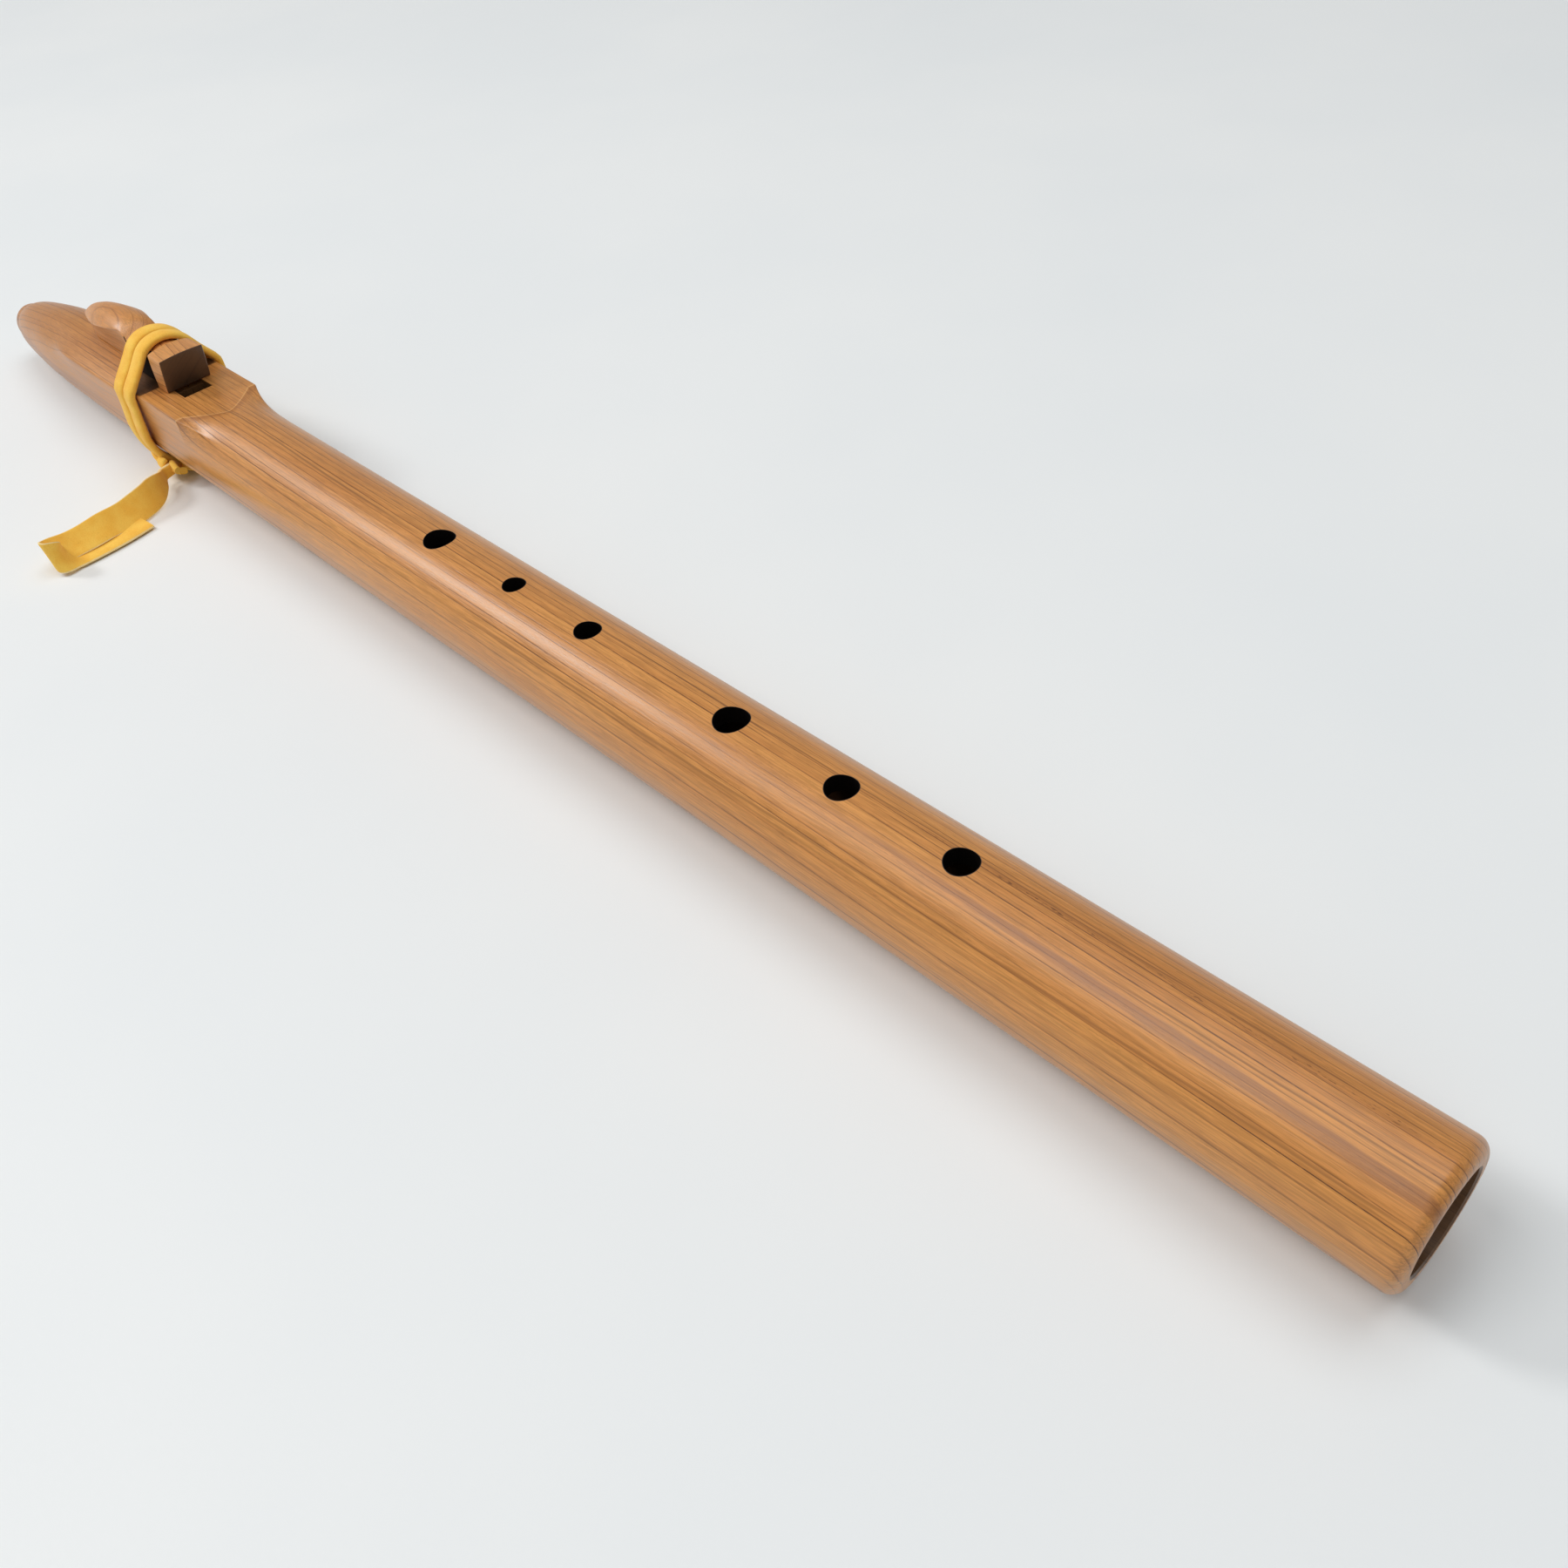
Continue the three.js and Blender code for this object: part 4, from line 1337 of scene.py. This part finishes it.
def table_top():
    material, shader, place = new_material("table_top")
    mottle = ease(noise(place, 5.0), 0.3, 0.7)
    feed(shader["Base Color"], tint(mottle, colour(240, 243, 243), colour(236, 240, 241)))
    feed(shader["Roughness"], ease(noise(place, 900.0, 2.0), 0.3, 0.7, 0.55, 0.65))
    return material


# Stage and light


def add_table():
    half = table_half_width
    corners = [(-half, -half, 0), (half, -half, 0), (half, half, 0), (-half, half, 0)]
    table = mesh_object("table", corners, [(0, 1, 2, 3)])
    table.data.materials.append(table_top())


def add_soft_light(name, direction, distance, size, power, shade):
    data = bpy.data.lights.new(name, "AREA")
    data.shape = "DISK"
    data.size = size
    data.energy = power
    data.color = shade
    light = linked(bpy.data.objects.new(name, data))
    away = Vector(direction).normalized()
    light.location = lit_place + away * distance
    light.rotation_euler = away.to_track_quat("Z", "Y").to_euler()


def add_surroundings():
    world = bpy.data.worlds.new("surroundings")
    bpy.context.scene.world = world
    world.use_nodes = True
    tree = world.node_tree
    rays = tree.nodes.new("ShaderNodeLightPath").outputs
    kinds = ("Is Camera Ray", "Is Glossy Ray", "Is Transmission Ray")
    seen = largest([Value(rays[kind]) for kind in kinds])
    sky = tree.nodes["Background"].inputs
    feed(sky["Strength"], ease(seen, 0, 1, 0.25, 0.32))
    sky["Color"].default_value = (0.97, 0.99, 1.0, 1.0)


def finish_piece(piece, body, replaced, material):
    piece.data.materials.clear()
    piece.data.materials.append(material)
    piece.data.polygons.foreach_set("material_index", [0] * len(piece.data.polygons))
    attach(piece, body)
    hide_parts(*replaced)


def main():
    bpy.context.scene.view_settings.view_transform = "Standard"
    add_camera()

    nap = deerskin_nap()
    skin = deerskin("deerskin", nap, colour(255, 206, 84), colour(250, 190, 66))
    ribbon, path = lace_tail_ribbon()
    finish_piece(ribbon, "flute", ["lace_tail"], skin)
    line_edges(ribbon, deerskin("cut_edge_and_highlight", nap, colour(255, 232, 168), colour(252, 218, 140)))
    length = sum((b - a).length for a, b in zip(path, path[1:]))
    print(f"length of the lace's tail: {1000 * length:.1f} mm")

    ticks = pore_ticks()
    grain = cedar_grain(ticks)
    bores_and_head_shade = dark_bores_and_head_shade()
    upper, lower = body_halves()
    finish_piece(upper, "flute", ["body_top_half"], upper_cedar(grain, bores_and_head_shade, ticks))
    finish_piece(lower, "flute", ["body_bottom_half"], lower_cedar(grain, bores_and_head_shade))
    block = carved_block()
    finish_piece(block, "block", ["block"], block_cedar(grain))
    line_waist(block, painted_waist_shade())
    finish_piece(wound_lace(), "flute", ["lace_turns"], skin)
    finish_piece(tied_knot(), "flute", ["lace_knot"], skin)

    add_table()
    add_surroundings()
    for light in soft_lights:
        add_soft_light(*light)


main()
